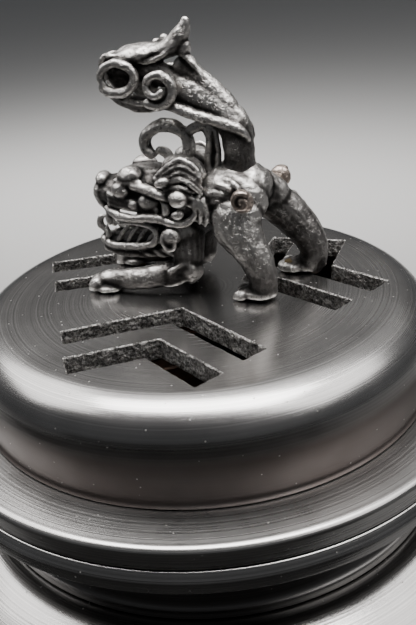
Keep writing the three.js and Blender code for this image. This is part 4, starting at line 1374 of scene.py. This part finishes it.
class BURNER_OT_lid(bpy.types.Operator):
    """Turn the lid and pierce its vents"""
    bl_idname = "burner.lid"
    bl_label = "Lid"

    def execute(self, context):
        sizes = context.scene.burner_turning
        vents = context.scene.burner_vents
        pewter = turned_finish("Lid pewter", sizes.metal, sizes.roughness, sizes.line_pitch, 0.5)
        broken = broken_finish("Broken edge")
        dome = pierced_dome(vents, sizes.sides, pewter, broken)
        new_piece("lid_dome_fine", dome, "lid", "turned_pewter", ["lid_dome"])
        flange = revolve("lid_flange_fine", flange_outline(), sizes.sides)
        flange.materials.append(turned_finish("Flange pewter", sizes.metal, sizes.roughness + 0.04,
                                              1.3 * sizes.line_pitch, 2.0))
        new_piece("lid_flange_fine", flange, "lid", "turned_pewter", ["lid_flange"])
        bezel = revolve("lid_bezel_fine", bezel_outline(), sizes.sides)
        bezel.materials.append(pewter)
        new_piece("lid_bezel_fine", bezel, "lid", "turned_pewter", ["lid_bezel"])
        return {"FINISHED"}


class BURNER_OT_fixings(bpy.types.Operator):
    """Place the slotted screws and their washers"""
    bl_idname = "burner.fixings"
    bl_label = "Fixings"

    def execute(self, context):
        brass = sheet_finish("Brass fixing", (0.42, 0.33, 0.16), (0.16, 0.12, 0.07), 0.30)
        feet = [f"foot_screw_{i}" for i in (1, 2, 3)]
        foot_washers = [f"foot_washer_{i}" for i in (1, 2, 3)]
        paws = ("near_fore", "far_fore", "near_hind", "far_hind")
        paw_screws = [f"screw_{p}" for p in paws]
        paw_washers = [f"washer_{p}" for p in paws]
        shank = 11.5 * MM
        foot_screw = screw_mesh(1.9 * MM, 3.6 * MM, 2 * MM, 0.8 * MM, shank)
        foot_screw.transform(Matrix.Translation((0, 0, shank)))
        head = 1.3 * MM
        paw_screw = screw_mesh(0.9 * MM, 1.8 * MM, head, 0.5 * MM, 6.6 * MM)
        paw_screw.transform(Matrix.Translation((0, 0, head)) @ Matrix.Scale(-1, 4, (0, 0, 1)))
        paw_screw.flip_normals()
        for name, nodes, shape, body, seed in (
            ("foot_screws", feet, foot_screw, "bowl", 3),
            ("foot_washers", foot_washers, washer_mesh(2.2 * MM, 4.4 * MM, 1 * MM), "bowl", 4),
            ("paw_screws", paw_screws, paw_screw, "lid", 5),
            ("paw_washers", paw_washers, washer_mesh(1.15 * MM, 2.3 * MM, 0.6 * MM), "lid", 6),
        ):
            mesh = spread(name, seats(nodes), shape, brass, seed)
            new_piece(name, mesh, body, "brass_fixing", nodes)
        return {"FINISHED"}


class BURNER_OT_lion(bpy.types.Operator):
    """Model and cast the lion"""
    bl_idname = "burner.lion"
    bl_label = "Lion"

    def execute(self, context):
        casting = context.scene.burner_casting
        black = cast_finish("Blackened cast", casting.recess, casting.ridge, casting.warm)
        coppery = cast_finish("Rubbed copper", casting.recess, (0.40, 0.34, 0.30), (0.085, 0.068, 0.058))
        rough, fine = casting.grain, casting.fine_grain
        for name, clay, grain, mask, metal, slot in (
            ("lion_body", lion_body_clay(), rough, haunch_mask, black, "blackened_cast"),
            ("lion_head", lion_head_clay(), fine, None, black, "blackened_cast"),
            ("lion_jaw", lion_jaw_clay(), fine, None, black, "blackened_cast"),
            ("mane_lock", mane_lock_clay(), rough, None, black, "blackened_cast"),
            ("lion_tail", lion_tail_clay(), fine, plume_mask, black, "blackened_cast"),
            ("hip_boss_near", boss_clay("hip_boss_near", -1), fine, None, coppery, "rubbed_copper"),
            ("hip_boss_far", boss_clay("hip_boss_far", 1), fine, None, coppery, "rubbed_copper"),
        ):
            skin = cast(clay, name + "_fine", grain, mask)
            skin.materials.clear()
            skin.materials.append(metal)
            new_piece(name + "_fine", skin, "lid", slot, [name])
        for pin in ("neck_pin", "jaw_pin", "tail_pin"):
            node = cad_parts[pin]
            node.data.materials.clear()
            node.data.materials.append(coppery)
        return {"FINISHED"}


class BURNER_OT_stage(bpy.types.Operator):
    """Lay the floor, set the lights and aim the camera"""
    bl_idname = "burner.stage"
    bl_label = "Stage"

    def execute(self, context):
        studio = context.scene.burner_studio
        aim = Vector((0, 0, girth("lid_flange")[2]))
        self.add_floor(studio)
        self.add_lights(aim)
        self.add_camera(context, studio, aim, studio.distance * girth("lid_dome")[0])
        return {"FINISHED"}

    def sheet(self, name, width, height):
        """A flat rectangle about the origin that faces up."""
        x, y = width / 2, height / 2
        mesh = bpy.data.meshes.new(name)
        mesh.from_pydata([(-x, -y, 0), (x, -y, 0), (x, y, 0), (-x, y, 0)], [], [(0, 1, 2, 3)])
        return mesh

    def add_floor(self, studio):
        mesh = self.sheet("floor", 8, 8)
        mesh.materials.append(floor_finish("Floor", studio.floor))
        working_object("floor", mesh)

    def add_card(self, name, centre, facing, size, strength):
        """A panel that only the metal mirrors: a soft light, or a black card where strength is 0."""
        mesh = self.sheet(name, *size)
        turn = Vector(facing).to_track_quat("Z", "Y").to_matrix().to_4x4()
        mesh.transform(Matrix.Translation(centre) @ turn)
        panel = working_object(name, mesh)
        finish = Finish(name)
        if strength:
            finish.set(Base_Color=(0, 0, 0), Roughness=1.0, Specular_IOR_Level=0.0,
                       Emission_Color=(1.0, 0.985, 0.97), Emission_Strength=strength)
        else:
            finish.set(Base_Color=(0.012, 0.012, 0.012), Roughness=0.9)
        mesh.materials.append(finish.material)
        panel.visible_camera = panel.visible_diffuse = panel.visible_shadow = False

    def add_lamp(self, name, place, aim, size, power):
        """A lamp that lights the floor; the metal mirrors the cards instead."""
        data = bpy.data.lights.new(name, "AREA")
        data.shape = "RECTANGLE"
        data.size, data.size_y = size
        data.energy = power
        data.color = (1.0, 0.985, 0.965)
        lamp = bpy.data.objects.new(name, data)
        bpy.context.scene.collection.objects.link(lamp)
        lamp.location = place
        lamp.rotation_euler = (Vector(aim) - Vector(place)).to_track_quat("-Z", "Y").to_euler()
        lamp.visible_glossy = False

    def add_lights(self, aim):
        world = bpy.data.worlds.new("studio")
        world.use_nodes = True
        background = world.node_tree.nodes["Background"].inputs
        background["Color"].default_value = (0.93, 0.96, 1.0, 1)
        background["Strength"].default_value = 0.10
        bpy.context.scene.world = world
        self.add_lamp("pool", (-0.13, 0.36, 0.26), (-0.13, 0.36, 0.0), (0.5, 0.1), 1.9)
        self.add_lamp("fill", (0.0, -0.1, 1.2), aim, (1.0, 1.0), 1.7)
        down = (0, 0, -1)
        for name, centre, facing, size, strength in (
            ("zenith", (0.0, 0.0, 0.85), down, (0.8, 0.36), 19.0),
            ("left_wing", (-0.78, 0.08, 0.80), down, (0.75, 0.85), 5.0),
            ("right_wing", (0.78, 0.08, 0.80), down, (0.75, 0.85), 4.2),
            ("canopy", (0.0, 0.38, 0.90), down, (0.85, 0.36), 2.0),
            ("back_high", (-0.25, 1.6, 1.55), (0.1, -1, -0.8), (3.2, 0.75), 0.50),
            ("back_low", (-0.25, 1.75, 0.85), (0.1, -1, -0.4), (3.2, 0.65), 0.13),
            # A dim sheet on the floor in front, seen only in the metal: painted shade on the floor there.
            ("front_card", (0.0, -0.30, 0.004), (0, 0, 1), (0.8, 0.45), 0.03),
            ("flag", (0.045, -0.19, 0.06), (-0.2, 1, 0), (0.5, 0.14), 0.0),
        ):
            self.add_card(name, centre, facing, size, strength)

    def add_camera(self, context, studio, aim, far):
        level = math.cos(studio.elevation) * far
        place = aim + Vector((level * math.sin(studio.azimuth), -level * math.cos(studio.azimuth),
                              math.sin(studio.elevation) * far))
        ahead = Vector((-math.sin(studio.heading) * math.cos(studio.tilt),
                        math.cos(studio.heading) * math.cos(studio.tilt), -math.sin(studio.tilt)))
        right = Vector((math.cos(studio.heading), math.sin(studio.heading), 0))
        up = right.cross(ahead)
        right = right * math.cos(studio.roll) + up * math.sin(studio.roll)
        up = right.cross(ahead)
        data = bpy.data.cameras.new("camera")
        data.lens = studio.lens
        data.sensor_width = 36
        data.clip_start, data.clip_end = 0.01, 20
        camera = bpy.data.objects.new("camera", data)
        camera.matrix_world = Matrix((
            (right.x, up.x, -ahead.x, place.x),
            (right.y, up.y, -ahead.y, place.y),
            (right.z, up.z, -ahead.z, place.z),
            (0, 0, 0, 1),
        ))
        context.scene.collection.objects.link(camera)
        context.scene.camera = camera


class BURNER_PT_panel(bpy.types.Panel):
    bl_label = "Lion-handled burner"
    bl_idname = "BURNER_PT_panel"
    bl_space_type = "VIEW_3D"
    bl_region_type = "UI"
    bl_category = "Burner"

    def draw(self, context):
        for group in (context.scene.burner_turning, context.scene.burner_vents,
                      context.scene.burner_casting, context.scene.burner_studio):
            box = self.layout.box()
            for name in group.__annotations__:
                box.prop(group, name)
        for operator in STEPS:
            self.layout.operator(operator.bl_idname)


STEPS = (
    BURNER_OT_bowl,
    BURNER_OT_liner,
    BURNER_OT_lid,
    BURNER_OT_fixings,
    BURNER_OT_lion,
    BURNER_OT_stage,
)
GROUPS = {
    "burner_turning": BurnerTurning,
    "burner_vents": BurnerVents,
    "burner_casting": BurnerCasting,
    "burner_studio": BurnerStudio,
}


def register():
    for made in (*GROUPS.values(), *STEPS, BURNER_PT_panel):
        bpy.utils.register_class(made)
    for name, group in GROUPS.items():
        setattr(bpy.types.Scene, name, PointerProperty(type=group))


def unregister():
    for name in GROUPS:
        delattr(bpy.types.Scene, name)
    for made in (BURNER_PT_panel, *reversed(STEPS), *reversed(list(GROUPS.values()))):
        bpy.utils.unregister_class(made)


def main():
    register()
    for step in STEPS:
        group, name = step.bl_idname.split(".")
        getattr(getattr(bpy.ops, group), name)()


if __name__ == "__main__":
    main()
